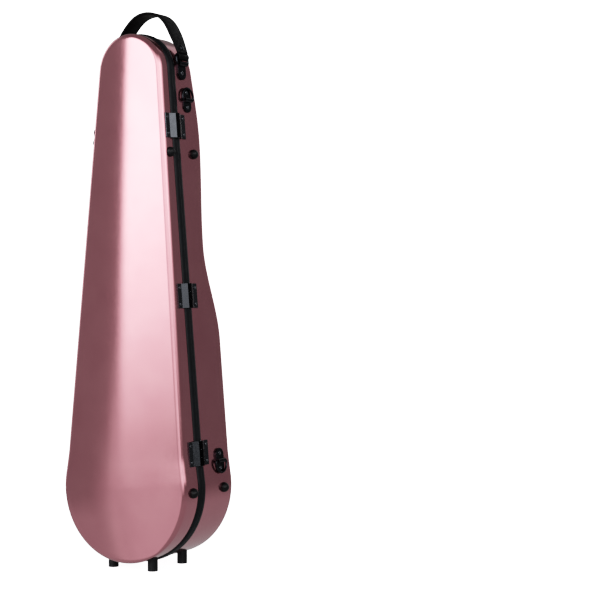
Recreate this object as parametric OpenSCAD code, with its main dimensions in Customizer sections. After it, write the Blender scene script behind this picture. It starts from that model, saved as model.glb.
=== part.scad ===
// Shaped hard case for a full-size violin, standing on its end feet.
// X runs across the case (hinges at +X, latches and handle at -X), Y through its
// thickness (lid at -Y, base at +Y) and Z up along its length.
// Every piece is drawn with the parting plane of the rims at Y = 0, and in_place()
// then moves the case so that the origin is on the floor under its middle.

/* [Outline] */
// Radius of the wide lower end of the shell
bulb_r = 111; // [104:1:120]
// Radius of the narrow upper end of the shell
top_r = 57; // [52:1:64]
// Distance between the centres of the two ends
end_spacing = 612; // [590:1:660]
// How far the lower end swells past the straight sides
bulge = 2.3; // [1:0.1:3.5]
// Radius of the hollow blend between the swell and a straight side
blend_r = 40; // [30:5:80]
// Height of the shell above the floor, filled by the end feet
ground_gap = 11; // [7:1:16]

/* [Shells] */
// Thickness of the shell walls
wall_t = 2.8; // [2:0.2:4]
// Depth of the lid's side wall at the lower end
lid_depth_low = 47; // [44:1:56]
// Depth of the lid's side wall at the upper end
lid_depth_top = 28; // [27:1:36]
// Rise of the lid's front above its side wall at the lower end
lid_crown_low = 11; // [6:1:16]
// Rise of the lid's front above its side wall at the upper end
lid_crown_top = 4; // [3:1:8]
// Radius of the lid's front edge
lid_fillet = 9; // [6:0.5:11]
// Depth of the base around the body of the violin
base_depth_low = 86; // [80:1:96]
// Depth of the base at its waist, where the neck lies
base_depth_waist = 59; // [57:1:68]
// Depth of the base at the shoulder above the waist
base_depth_shoulder = 69; // [62:1:78]
// Depth of the base at the upper end
base_depth_top = 54; // [52:1:64]
// Rise of the back above the side wall of the base
base_crown = 3; // [2:0.5:6]
// Radius of the back edge of the base
base_fillet = 10; // [6:0.5:12]
// Distance from the upper end down to the shoulder
shoulder_drop = 151; // [130:1:170]
// Distance from the upper end down to the waist
waist_drop = 313; // [290:1:330]
// Distance from the upper end down to the full depth of the base
belly_drop = 451; // [430:1:480]

/* [Rims] */
// Width of each rim over the wall
rim_w = 7.5; // [6:0.5:7.5]
// How far a rim stands proud of the wall
rim_proud = 2.2; // [1.4:0.2:2.4]
// Thickness of the rim across the edge of the wall
rim_web = 2; // [1:0.2:3]
// Thickness of the rim's lip inside the wall
rim_lip = 1.2; // [0.8:0.2:2]
// Gap between the two closed rims
rim_gap = 0.3; // [0.2:0.1:0.6]

/* [Hinges] */
// Distances of the upper and the middle hinge below the upper end
hinge_drop = [137, 386]; // [125:1:400]
// Length of a hinge along the wall
hinge_len = 36; // [28:1:44]
// Reach of each leaf from the parting plane
leaf_reach = 24; // [23:0.5:26]
// Thickness of a leaf
leaf_t = 1.6; // [1:0.1:2]
// Distance of the hinge axis from the wall
hinge_axis = 5.9; // [5.7:0.1:7]
// Radius of a knuckle
knuckle_r = 3; // [2.6:0.1:3.2]
// Radius of a hinge pin
hinge_pin_r = 1.5; // [1:0.1:1.8]
// Clearance round the hinge pins
hinge_clear = 0.1; // [0.05:0.05:0.2]
// Gap between neighbouring knuckles
knuckle_gap = 0.4; // [0.2:0.1:0.8]

/* [Latches] */
// Distance of the upper latch below the upper end
latch_drop = 150; // [140:1:160]
// Distance of the lower latch below the middle of the handle
latch_below_handle = 113; // [108:1:125]
// Angle below the level of the third latch, on the lower end
latch_low_angle = 55; // [45:1:58]
// Width of a lever
lever_w = 16.5; // [14:0.5:19]
// Reach of a lever from the parting plane
lever_reach = 47; // [44:1:52]
// Sheet thickness of the latch pieces
latch_t = 1.5; // [1:0.1:1.8]
// Distance of the lever's pivot from the parting plane
lever_pivot_y = 10; // [9.8:0.1:11]
// Height of the lever's pivot above the wall
lever_pivot_h = 7; // [6.8:0.1:8]
// Distance between the pivots of the lever and the bail
bail_throw = 6.5; // [6:0.1:7.5]
// Radius of the lever's pivot pin
latch_pin_r = 1.5; // [1:0.1:1.8]
// Radius of the bail wire
bail_r = 1.4; // [1:0.1:1.6]
// Outside width of a bail
bail_w = 27.6; // [26:0.2:30]
// Clearance round the latch pivots
latch_clear = 0.15; // [0.1:0.05:0.25]
// Height of a keeper's lip above the wall
keeper_lip_h = 4.2; // [3:0.1:4.6]
// Gap between a keeper's lip and the bail that lies over it
bail_lift = 0.35; // [0.3:0.05:0.6]
// Spacing of the screws in a keeper
keeper_screw_gap = 15.3; // [13:0.1:17]
// Distance of the keeper screws from the parting plane
keeper_screw_y = 20.8; // [19:0.2:22]

/* [Strap rings] */
// Distance of the upper pair of strap rings below the upper end
ring_upper_drop = 96; // [92:1:103]
// Height of the lower strap ring on the hinge side above the middle of the lower end
ring_hinge_low_up = 38; // [36:1:46]
// Height of the lower strap ring on the latch side above the middle of the lower end
ring_latch_low_up = 20; // [4:1:22]
// Distance of the latch side's upper ring behind the parting plane
ring_upper_y = 28; // [26:0.5:30]
// Distance of the hinge side's upper ring behind the parting plane
ring_hinge_upper_y = 34; // [31:0.5:36]
// Distance of the lower rings behind the parting plane
ring_lower_y = 52; // [44:1:58]
// Length of a ring plate
ring_plate_len = 37; // [34:1:39]
// Width of a ring plate
ring_plate_w = 19.5; // [16:0.5:21]
// Thickness of a ring plate
ring_plate_t = 1.6; // [1.2:0.1:2.2]
// Radius of the wire of a ring
ring_wire_r = 1.5; // [1.2:0.1:1.8]
// Radius of a ring's bow, at the middle of the wire
ring_bow_r = 13.5; // [12.5:0.5:16]
// Straight length between a ring's bar and its bow
ring_leg = 4; // [3.5:0.5:8]
// Clearance of a ring in its bridge
ring_clear = 0.25; // [0.15:0.05:0.4]
// Width of the bridge that holds a ring
bridge_w = 18; // [10:0.5:18.5]

/* [Top strap] */
// Distance of the strap behind the parting plane
strap_y = 25; // [23:0.5:28]
// Width of the leather strap
strap_w = 32; // [28:1:36]
// Width of the strap where it is folded round its loops
strap_end_w = 25; // [22:1:28]
// Thickness of the leather strap
strap_t = 4; // [3:0.5:5]
// Height of the loop that the strap makes above the shell
strap_rise = 37; // [28:1:44]
// How far the legs of the strap are drawn in above its loops
strap_pinch = 11; // [8:0.5:12]
// How much the legs of the strap spread again at their feet
strap_flare = 2; // [1:0.25:3]
// Angle above the level at which the latch side's tab sits on the upper end
tab_angle = 10; // [6:1:14]
// Distance of the hinge side's tab below the middle of the upper end
tab_hinge_drop = 0; // [-3:0.5:4]
// Width of a tab
tab_w = 19.5; // [16:0.5:21]
// Thickness of a tab
tab_t = 2.4; // [1.6:0.2:3]
// Radius of the wire of the square loops
loop_r = 1.8; // [1.4:0.1:2.2]

/* [Handle] */
// Distance of the middle of the handle below the upper end
handle_drop = 429; // [416:1:436]
// Distance of the handle behind the parting plane
handle_y = 25; // [24.5:0.5:28]
// Length of the grip
grip_len = 176; // [170:2:190]
// Width of the grip
grip_w = 27; // [22:1:29]
// Thickness of the grip
grip_t = 9; // [7:0.5:11]
// Height of the grip's arch between its ends
grip_arch = 12; // [10:1:24]
// Distance between the two handle pins
handle_span = 150; // [144:2:156]
// Height of the handle pins above the wall
handle_pin_h = 6.5; // [6.2:0.1:7.5]
// Radius of a handle pin
handle_pin_r = 1.8; // [1.4:0.1:2.2]
// Clearance round the handle pins
handle_clear = 0.15; // [0.1:0.05:0.25]

/* [Feet and bumpers] */
// Radius of an end foot
foot_r = 7.5; // [6:0.5:9]
// Distance of the end feet from the middle of the case
foot_x = 36; // [28:1:42]
// Distance of the base's end feet behind the parting plane
base_foot_y = 57; // [40:1:66]
// Distance of the lid's end feet in front of the parting plane
lid_foot_y = 18; // [17:0.5:28]
// Radius of a side bumper
bumper_r = 7.2; // [6:0.2:8]
// Height of a bumper
bumper_h = 8; // [6:0.5:9]

/* [Inside] */
// Thickness of the lining in the lid
lining_t = 9; // [7:0.5:10]
// Distance of the padding from the parting plane
pad_drop = 8; // [8:0.5:10]
// Gap between the padding and the shell
pad_clear = 0.4; // [0.3:0.1:0.8]
// Radius of the hollow for the violin's lower bout
lower_bout_r = 104; // [98:1:105]
// Radius of the hollow for the violin's upper bout
upper_bout_r = 83; // [76:1:84]
// Width of the hollow at the violin's waist
violin_waist_w = 120; // [112:1:140]
// Distance between the middles of the two bouts
bout_spacing = 195; // [185:1:205]
// Width of the hollow for the neck
neck_w = 58; // [50:1:70]
// Depth of the hollow for the body below the padding's face
body_hollow = 50; // [40:1:56]
// Depth of the hollow for the neck below the padding's face
neck_hollow = 32; // [24:1:36]
// Distance between the two bow spinners
spinner_spacing = 420; // [380:5:460]

/* [Hidden] */

shell_pink = "#d99aa6";
rubber_black = "#202226";
hardware_black = "#16171a";
steel_grey = "#8a8d92";
leather_black = "#1b1a1c";
plush_grey = "#5a5560";

$fn = 48;
seat_gap = 0.05;
grip_end_h = 15;
eps = 0.01;

// Heights of the two end centres and of the shell's ends
bulb_z = ground_gap + bulb_r;
top_z = bulb_z + end_spacing;
shell_top = top_z + top_r;
shell_len = shell_top - ground_gap;

// The straight sides lean in by this angle
side_d = bulb_r - bulge;
lean = asin((side_d - top_r) / end_spacing);
blend_s = sqrt(2 * (bulb_r + blend_r) * bulge - bulge * bulge);
blend_turn = atan2(blend_s, side_d + blend_r);
blend_x = (side_d + blend_r) * cos(lean) - blend_s * sin(lean);
blend_z = bulb_z + (side_d + blend_r) * sin(lean) + blend_s * cos(lean);
side_top_z = top_z + top_r * sin(lean);
side_low_z = blend_z - blend_r * sin(lean);
function side_x(z) = (side_d + (bulb_z - z) * sin(lean)) / cos(lean);

// Heights of what sits on the walls; the lower hinge ends where the swell of the lower end begins
hinge_z = [shell_top - hinge_drop[0], shell_top - hinge_drop[1], side_low_z + hinge_len / 2];
handle_z = shell_top - handle_drop;
latch_z = [shell_top - latch_drop, handle_z - latch_below_handle];
ring_upper_z = shell_top - ring_upper_drop;
ring_hinge_low_z = bulb_z + ring_hinge_low_up;

// Depths along the case
shoulder_z = shell_top - shoulder_drop;
waist_z = shell_top - waist_drop;
belly_z = shell_top - belly_drop;
function clamp01(t) = min(1, max(0, t));
function ease(a, b, t) = a + (b - a) * clamp01(t) * clamp01(t) * (3 - 2 * clamp01(t));
function along(a, b, z) = a + (b - a) * (z - ground_gap) / shell_len;
function base_depth(z) =
    z > shoulder_z ? ease(base_depth_shoulder, base_depth_top, (z - shoulder_z) / (shell_top - shoulder_z))
    : z > waist_z ? ease(base_depth_waist, base_depth_shoulder, (z - waist_z) / (shoulder_z - waist_z))
    : ease(base_depth_low, base_depth_waist, (z - belly_z) / (waist_z - belly_z));
function lid_depth(z) = along(lid_depth_low, lid_depth_top, z);
function lid_crown(z) = along(lid_crown_low, lid_crown_top, z);

// Middle of the case through its thickness
back_y = base_depth_low + base_crown + bumper_h;
front_y = lid_depth(bulb_z) + lid_crown(bulb_z);
middle_y = (back_y - front_y) / 2;

// Middle of the case across its width, between the handle and the lower bumper
handle_reach = side_x(handle_z) + (grip_end_h + grip_arch + grip_t / 2) * cos(lean);
middle_x = (bulb_r + bumper_h - handle_reach) / 2;

// Half outline from the top to the bottom as [x, z, angle of the outward normal]
top_n = 8;
side_n = 9;
blend_n = 2;
bulb_n = 11;
half_outline = concat(
    [for (i = [0:top_n]) let (a = 90 - i * (90 - lean) / top_n)
        [i == 0 ? 0 : top_r * cos(a), top_z + top_r * sin(a), a]],
    [for (i = [1:side_n - 1]) let (z = side_top_z + (side_low_z - side_top_z) * i / side_n)
        [side_x(z), z, lean]],
    [for (i = [0:blend_n]) let (a = lean + blend_turn * i / blend_n)
        [blend_x - blend_r * cos(a), blend_z - blend_r * sin(a), a]],
    [for (i = [1:bulb_n]) let (a = lean + blend_turn - i * (90 + lean + blend_turn) / bulb_n)
        [i == bulb_n ? 0 : bulb_r * cos(a), bulb_z + bulb_r * sin(a), a]]
);
half_n = len(half_outline) - 1;
ring_n = 2 * half_n;
spine_n = half_n - bulb_n - top_n + 1;
outline = concat(
    half_outline,
    [for (i = [half_n - 1:-1:1]) [-half_outline[i][0], half_outline[i][1], 180 - half_outline[i][2]]]
);

// The outline moved in along its normals by d
function inset(p, d) = [p[0] - d * cos(p[2]), p[1] - d * sin(p[2])];
function outline_at(d) = [for (p = outline) inset(p, d)];

// Each outline point leads to a point on the spine, the line between the two end centres
function half_i(i) = i <= half_n ? i : ring_n - i;
function spine_i(i) = min(max(half_i(i), top_n), half_n - bulb_n) - top_n;
spine = [for (i = [top_n:half_n - bulb_n]) let (p = half_outline[i]) p[1] - p[0] * tan(p[2])];

// Skin of a dish: rings from the rim along the wall, round the edge and up the crown.
// s is the side (+1 base, -1 lid) and d the distance inside the outline.
fillet_n = 4;
crown_n = 3;
function shell_depth(s, z) = s > 0 ? base_depth(z) : lid_depth(z);
function shell_crown(s, z) = s > 0 ? base_crown : lid_crown(z);
function fillet_r(s) = s > 0 ? base_fillet : lid_fillet;
function fillet_turn(s) = s > 0 ? 86 : 77;
function spine_y(s, d, z) = shell_depth(s, z) + shell_crown(s, z) - d;
function edge_point(s, d, p, a) =
    let (r = max(fillet_r(s) - d, 1), q = inset(p, d + r * (1 - cos(a))))
    [q[0], shell_depth(s, p[1]) - d - r + r * sin(a), q[1]];
function crown_point(e, zs, ys, f) =
    [e[0] * (1 - f), e[1] + (ys - e[1]) * (1 - (1 - f) * (1 - f)), e[2] + (zs - e[2]) * f];
function flip(s, p) = [p[0], s * p[1], p[2]];
function skin_rings(s, d, y0) = concat(
    [for (p = outline) let (q = inset(p, d)) flip(s, [q[0], y0, q[1]])],
    [for (k = [0:fillet_n], p = outline) flip(s, edge_point(s, d, p, k * fillet_turn(s) / fillet_n))],
    [for (k = [1:crown_n - 1], i = [0:ring_n - 1])
        let (e = edge_point(s, d, outline[i], fillet_turn(s)), zs = spine[spine_i(i)])
        flip(s, crown_point(e, zs, spine_y(s, d, zs), k / crown_n))],
    [for (zs = spine) flip(s, [0, spine_y(s, d, zs), zs])]
);
skin_ring_n = fillet_n + crown_n + 1;
skin_count = skin_ring_n * ring_n + spine_n;

// Faces between rings a and b of equal length, and from a ring to the spine
function turn_face(f, turned) = turned ? [f[2], f[1], f[0]] : f;
function band(a, b, turned) = [for (i = [0:ring_n - 1], half = [0, 1])
    let (j = (i + 1) % ring_n)
    turn_face(half == 0 ? [a + i, a + j, b + j] : [a + i, b + j, b + i], turned)];
function spine_fan(a, first, turned) = [for (i = [0:ring_n - 1], half = [0, 1])
    let (j = (i + 1) % ring_n, si = first + spine_i(i), sj = first + spine_i(j))
    if (half == 0 || si != sj)
    turn_face(half == 0 ? [a + i, a + j, sj] : [a + i, sj, si], turned)];
function skin_faces(first, turned) = concat(
    [for (k = [0:skin_ring_n - 2], f = band(first + k * ring_n, first + (k + 1) * ring_n, turned)) f],
    spine_fan(first + (skin_ring_n - 1) * ring_n, first + skin_ring_n * ring_n, turned)
);

// A dish between two skins, open at the rim
module dish(s, d_out, d_in, y0) {
    points = concat(skin_rings(s, d_out, y0), skin_rings(s, d_in, y0));
    inside = skin_count;
    polyhedron(points, concat(
        skin_faces(0, s > 0),
        skin_faces(inside, s < 0),
        band(0, inside, s < 0)
    ));
}

// A dish filled up to a flat face
module filled_dish(s, d, y0) {
    face = [for (zs = spine) flip(s, [0, y0, zs])];
    polyhedron(concat(skin_rings(s, d, y0), face), concat(
        skin_faces(0, s > 0),
        spine_fan(0, skin_count, s < 0)
    ));
}

// A closed profile of [distance outside the outline, y] carried round the outline
module outline_sweep(profile, turned) {
    n = len(profile);
    points = [for (q = profile, p = outline) let (o = inset(p, -q[0])) [o[0], q[1], o[1]]];
    polyhedron(points, [for (k = [0:n - 1], f = band(k * ring_n, ((k + 1) % n) * ring_n, turned)) f]);
}

// A closed cross-section of [across, out] points carried along a path of [a, b, angle] in a plane
module path_sweep(path, section) {
    n = len(section[0]);
    m = len(path);
    points = [for (i = [0:m - 1], q = section[i])
        [path[i][0] - q[1] * sin(path[i][2]), q[0], path[i][1] + q[1] * cos(path[i][2])]];
    sides = [for (i = [0:m - 2], k = [0:n - 1], half = [0, 1])
        let (a = i * n + k, b = i * n + (k + 1) % n)
        half == 0 ? [a, b + n, b] : [a, a + n, b + n]];
    polyhedron(points, concat(
        sides,
        [for (k = [1:n - 2]) [0, k, k + 1]],
        [for (k = [1:n - 2]) [(m - 1) * n, (m - 1) * n + k + 1, (m - 1) * n + k]]
    ));
}

// A flat section with round edges, w across and t thick
edge_n = 4;
function round_section(w, t) = [for (e = [0, 1], k = [0:edge_n])
    let (a = -90 + e * 180 + k * 180 / edge_n)
    [(e == 0 ? 1 : -1) * (w - t) / 2 + t / 2 * cos(a), t / 2 * sin(a)]];

module in_place() translate([-middle_x, -middle_y, 0]) children();

// Seats on the outline: X along the wall, Y through the case and Z straight out
module seat(x, z, a) translate([x, 0, z]) rotate([0, 90 - a, 0]) children();
module on_side(side, z) seat(side * side_x(z), z, side > 0 ? lean : 180 - lean) children();
module on_bulb(a) seat(bulb_r * cos(a), bulb_z + bulb_r * sin(a), a) children();
module on_top(a) seat(top_r * cos(a), top_z + top_r * sin(a), a) children();

// A flat shape drawn in [x, z] and extruded through the case from y0 to y1
module across_case(y0, y1) translate([0, y1, 0]) rotate([90, 0, 0]) linear_extrude(y1 - y0) children();

// The space inside the walls, cut from the underside of what sits on a round stretch of them
module shell_core() across_case(-2 * base_depth_low, 2 * base_depth_low) polygon(outline_at(-seat_gap));

// A profile drawn in [y, z] and extruded along the wall from x0 to x1
module along_wall(x0, x1) translate([x0, 0, 0]) rotate([90, 0, 90]) linear_extrude(x1 - x0) children();
module wall_rod(r, x0, x1, y, z) translate([x0, y, z]) rotate([0, 90, 0]) cylinder(r = r, h = x1 - x0);
module cross_rod(r, y0, y1, x, z) translate([x, y1, z]) rotate([90, 0, 0]) cylinder(r = r, h = y1 - y0);

module wire_bend(r, wire_r, turn) rotate_extrude(angle = turn) translate([r, 0]) circle(r = wire_r);

// A round-topped cap of radius r and height h
module cap(r, h) {
    ball = (r * r + h * h) / (2 * h);
    intersection() {
        translate([0, 0, h - ball]) sphere(r = ball);
        cylinder(r = r + 1, h = h);
    }
}

// A screw or rivet with its head on a plate of thickness t, its shank biting into the wall
shank_bite = 1.8;
screw_head_h = 1.3;
module screw(head_r, shank_r, t) {
    translate([0, 0, t]) cap(head_r, screw_head_h);
    translate([0, 0, -shank_bite]) cylinder(r = shank_r, h = shank_bite + t + screw_head_h / 2);
}

// Shells and rims

module base_shell() color(shell_pink) in_place() dish(1, 0, wall_t, rim_web + rim_gap / 2);
module lid_shell() color(shell_pink) in_place() dish(-1, 0, wall_t, rim_web + rim_gap / 2);

// Channel that grips the edge of a shell, with its outer corners rounded
rim_round = 1.2;
rim_flat = rim_proud - rim_round;
function rim_profile(s) = [for (p = concat(
    [[-wall_t - rim_lip, rim_gap / 2]],
    [for (a = [0, 45, 90]) [rim_flat + rim_round * sin(a), rim_gap / 2 + rim_round * (1 - cos(a))]],
    [for (a = [0, 45, 90]) [rim_flat + rim_round * cos(a), rim_w - rim_round + rim_round * sin(a)]],
    [[0, rim_w], [0, rim_web + rim_gap / 2], [-wall_t, rim_web + rim_gap / 2], [-wall_t, rim_w],
        [-wall_t - rim_lip, rim_w]]
)) [p[0], s * p[1]]];
module base_rim() color(rubber_black) in_place() outline_sweep(rim_profile(1), true);
module lid_rim() color(rubber_black) in_place() outline_sweep(rim_profile(-1), false);

// Hinges

leaf_bend_y = 15;
leaf_clear_y = knuckle_r + 1.5;
leaf_screw_x = hinge_len / 3;
leaf_screw_y = (leaf_reach + leaf_bend_y) / 2;
leaf_screw_r = 1.3;
leaf_head_r = 2.5;
leaf_top = hinge_axis + knuckle_r - 0.1;
leaf_slope_t = leaf_t * 1.15;
knuckle_half = hinge_len / 6;
function leaf_strip() = [
    [leaf_reach, 0], [leaf_reach, leaf_t], [leaf_bend_y, leaf_t],
    [1, leaf_top], [1, leaf_top - leaf_slope_t], [leaf_bend_y - 0.4, 0]
];
module leaf_part(x0, x1, y0, y1) {
    intersection() {
        along_wall(x0, x1) polygon(leaf_strip());
        translate([x0, y0, -1]) cube([x1 - x0, y1 - y0, leaf_top + 2]);
    }
}
module knuckle(x0, x1) {
    wall_rod(knuckle_r, x0, x1, 0, hinge_axis);
    leaf_part(x0, x1, 0, leaf_clear_y + eps);
}
// s is +1 for the base leaf with two outer knuckles and -1 for the lid leaf with the middle one
module hinge_leaf(s) {
    half = hinge_len / 2;
    mirror([0, s > 0 ? 0 : 1, 0]) difference() {
        union() {
            leaf_part(-half, half, leaf_clear_y, leaf_reach + 1);
            if (s > 0) {
                knuckle(-half, -knuckle_half);
                knuckle(knuckle_half, half);
            } else {
                knuckle(-knuckle_half + knuckle_gap, knuckle_half - knuckle_gap);
            }
        }
        wall_rod(hinge_pin_r + hinge_clear, -half - 1, half + 1, 0, hinge_axis);
        for (x = [-1, 1]) translate([x * leaf_screw_x, leaf_screw_y, -1])
            cylinder(r = leaf_screw_r + hinge_clear, h = leaf_t + 2);
    }
}
module hinge_base_leaf(i) color(hardware_black) in_place() on_side(1, hinge_z[i]) hinge_leaf(1);
module hinge_lid_leaf(i) color(hardware_black) in_place() on_side(1, hinge_z[i]) hinge_leaf(-1);
module hinge_pins() color(steel_grey) in_place() for (z = hinge_z) on_side(1, z)
    wall_rod(hinge_pin_r, -hinge_len / 2 - 0.4, hinge_len / 2 + 0.4, 0, hinge_axis);
module leaf_screws(s) in_place() for (z = hinge_z, x = [-1, 1]) on_side(1, z)
    translate([x * leaf_screw_x, s * leaf_screw_y, 0]) screw(leaf_head_r, leaf_screw_r, leaf_t);
module hinge_base_screws() color(hardware_black) leaf_screws(1);
module hinge_lid_screws() color(hardware_black) leaf_screws(-1);

// Draw latches: a lever on a plate with ears, a bail on the lever and a keeper on the lid

plate_w = 15;
plate_y0 = rim_w + 0.8;
plate_y1 = 38;
ear_t = 1.6;
ear_gap = 0.55;
ear_r = 3.2;
cheek_x = lever_w / 2 - latch_t;
ear_x = cheek_x - ear_gap - ear_t;
lever_top = lever_pivot_h + 2.8;
lever_front = lever_pivot_y + ear_r + 0.6;
cheek_a_r = 3.5;
cheek_b_r = 3.2;
bail_pivot_y = lever_pivot_y + bail_throw;
rivet_y = 29;
rivet_x = 4;
rivet_head_r = 2.8;
rivet_r = 1.5;
bail_bar_y = -(rim_w + 0.8 + latch_t / 2);
bail_bar_h = keeper_lip_h + bail_lift + bail_r;
bail_leg_x = bail_w / 2 - bail_r;
bail_len = norm([bail_pivot_y - bail_bar_y, lever_pivot_h - bail_bar_h]);
bail_tilt = atan2(lever_pivot_h - bail_bar_h, bail_pivot_y - bail_bar_y);
bail_corner = 3;

module latch_seat(i) {
    if (i < 2) on_side(-1, latch_z[i]) children();
    else on_bulb(180 + latch_low_angle) children();
}
// A flat foot under a latch piece, which reaches down to the wall where that is round
latch_sink = 1.4;
module latch_foot(i) {
    sink = i < 2 ? 0 : latch_sink;
    translate([0, 0, -sink]) linear_extrude(latch_t + sink) children();
}
module on_latch_wall(i) difference() {
    latch_seat(i) children();
    if (i == 2) shell_core();
}
module latch_plate(i) color(hardware_black) in_place() on_latch_wall(i) difference() {
    union() {
        latch_foot(i) translate([-plate_w / 2, plate_y0]) square([plate_w, plate_y1 - plate_y0]);
        for (x = [-ear_x - ear_t, ear_x]) {
            along_wall(x, x + ear_t) polygon([[plate_y0, latch_t / 2], [lever_pivot_y - ear_r, lever_pivot_h],
                [lever_pivot_y + ear_r, lever_pivot_h], [lever_pivot_y + ear_r + 1, latch_t / 2]]);
            wall_rod(ear_r, x, x + ear_t, lever_pivot_y, lever_pivot_h);
        }
    }
    wall_rod(latch_pin_r + latch_clear / 3, -lever_w, lever_w, lever_pivot_y, lever_pivot_h);
    for (x = [-1, 1]) translate([x * rivet_x, rivet_y, -2 * latch_t])
        cylinder(r = rivet_r + latch_clear / 3, h = 4 * latch_t);
}
module latch_lever(i) color(hardware_black) in_place() latch_seat(i) difference() {
    union() {
        along_wall(-lever_w / 2, lever_w / 2) polygon([
            [lever_front, lever_top - latch_t], [lever_front, lever_top], [lever_reach - 4.5, lever_top],
            [lever_reach - 0.6, lever_top + 2], [lever_reach, lever_top + 0.8],
            [lever_reach - 4, lever_top - latch_t]]);
        for (x = [-lever_w / 2, cheek_x]) {
            along_wall(x, x + latch_t) polygon([
                [lever_front, lever_top - latch_t / 2], [lever_reach - 7, lever_top - latch_t / 2],
                [lever_reach - 7, lever_top - 2.6], [bail_pivot_y + 3.5, lever_pivot_h - 2.6],
                [bail_pivot_y, lever_pivot_h - cheek_b_r], [lever_pivot_y, lever_pivot_h - cheek_a_r],
                [lever_pivot_y, lever_top - latch_t / 2]]);
            wall_rod(cheek_a_r, x, x + latch_t, lever_pivot_y, lever_pivot_h);
            wall_rod(cheek_b_r, x, x + latch_t, bail_pivot_y, lever_pivot_h);
        }
    }
    wall_rod(latch_pin_r + latch_clear, -lever_w, lever_w, lever_pivot_y, lever_pivot_h);
    wall_rod(bail_r + latch_clear, -lever_w, lever_w, bail_pivot_y, lever_pivot_h);
}
// The bail is drawn with its pivot at the origin and its bar at -Y, then laid over the keeper
bail_block_y0 = 11.3;
bail_block_y1 = 21.5;
bail_block_t = 2.2;
module bail_shape() {
    for (x = [-1, 1]) {
        cross_rod(bail_r, -bail_len + bail_corner, -bail_corner, x * bail_leg_x, 0);
        translate([x * (bail_leg_x - bail_corner), -bail_corner, 0])
            rotate([0, 0, x > 0 ? 0 : 90]) wire_bend(bail_corner, bail_r, 90);
        wall_rod(bail_r, x > 0 ? cheek_x + 0.1 : bail_corner - bail_leg_x,
            x > 0 ? bail_leg_x - bail_corner : -cheek_x - 0.1, 0, 0);
        translate([x * (bail_leg_x - bail_corner), -bail_len + bail_corner, 0])
            rotate([0, 0, x > 0 ? -90 : 180]) wire_bend(bail_corner, bail_r, 90);
    }
    wall_rod(bail_r, -bail_leg_x + bail_corner, bail_leg_x - bail_corner, -bail_len, 0);
    translate([-bail_leg_x, -bail_block_y1, -bail_block_t / 2])
        cube([2 * bail_leg_x, bail_block_y1 - bail_block_y0, bail_block_t]);
}
module latch_bail(i) color(hardware_black) in_place() latch_seat(i)
    translate([0, bail_pivot_y, lever_pivot_h]) rotate([bail_tilt, 0, 0]) bail_shape();
keeper_lip_w = 12.6;
keeper_neck_w = 10;
keeper_lobe_r = 5.2;
keeper_neck_len = 4.7;
keeper_screw_r = 1.5;
keeper_head_r = 3;
keeper_y0 = -rim_w - 0.8;
module keeper_outline() {
    lobe = keeper_screw_gap / 2;
    neck = keeper_neck_w / 2;
    neck_y = keeper_y0 - keeper_neck_len;
    flare = keeper_lobe_r * cos(45);
    tail_y = -keeper_screw_y - keeper_lobe_r * 0.92;
    notch_y = -keeper_screw_y - keeper_lobe_r * 0.54;
    polygon([[-neck, keeper_y0], [neck, keeper_y0], [neck, neck_y], [lobe + flare, flare - keeper_screw_y],
        [lobe, tail_y], [0, notch_y], [-lobe, tail_y], [-lobe - flare, flare - keeper_screw_y], [-neck, neck_y]]);
    for (x = [-1, 1]) translate([x * lobe, -keeper_screw_y]) circle(r = keeper_lobe_r);
}
module latch_keeper(i) color(i == 0 ? steel_grey : hardware_black) in_place() on_latch_wall(i) difference() {
    union() {
        latch_foot(i) keeper_outline();
        translate([-keeper_lip_w / 2, keeper_y0 - latch_t, latch_t / 2])
            cube([keeper_lip_w, latch_t, keeper_lip_h - latch_t / 2]);
    }
    for (x = [-1, 1]) translate([x * keeper_screw_gap / 2, -keeper_screw_y, -2 * latch_t])
        cylinder(r = keeper_screw_r + seat_gap, h = 4 * latch_t);
}
module latch_pins() color(steel_grey) in_place() for (i = [0:2]) latch_seat(i)
    wall_rod(latch_pin_r, -lever_w / 2, lever_w / 2, lever_pivot_y, lever_pivot_h);
module latch_rivets() color(steel_grey) in_place() for (i = [0:2], x = [-1, 1]) latch_seat(i)
    translate([x * rivet_x, rivet_y, 0]) screw(rivet_head_r, rivet_r, latch_t);
module keeper_screws() color(hardware_black) in_place() for (i = [0:2], x = [-1, 1]) latch_seat(i)
    translate([x * keeper_screw_gap / 2, -keeper_screw_y, 0]) screw(keeper_head_r, keeper_screw_r, latch_t);

// Strap rings: 0 hinge upper, 1 hinge lower, 2 latch upper, 3 latch lower

ring_screw_x = ring_plate_len / 2 - 7.5;
ring_screw_r = 1.5;
ring_head_r = 3.2;
ring_axis_h = ring_plate_t + 0.2 + ring_wire_r;
bridge_in = ring_wire_r + ring_clear;
bridge_out = bridge_in + ring_plate_t;
// The lower hinge-side plate stands off the straight side, over the swell of the lower end
ring_low_lift = bulge / 2;
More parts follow.
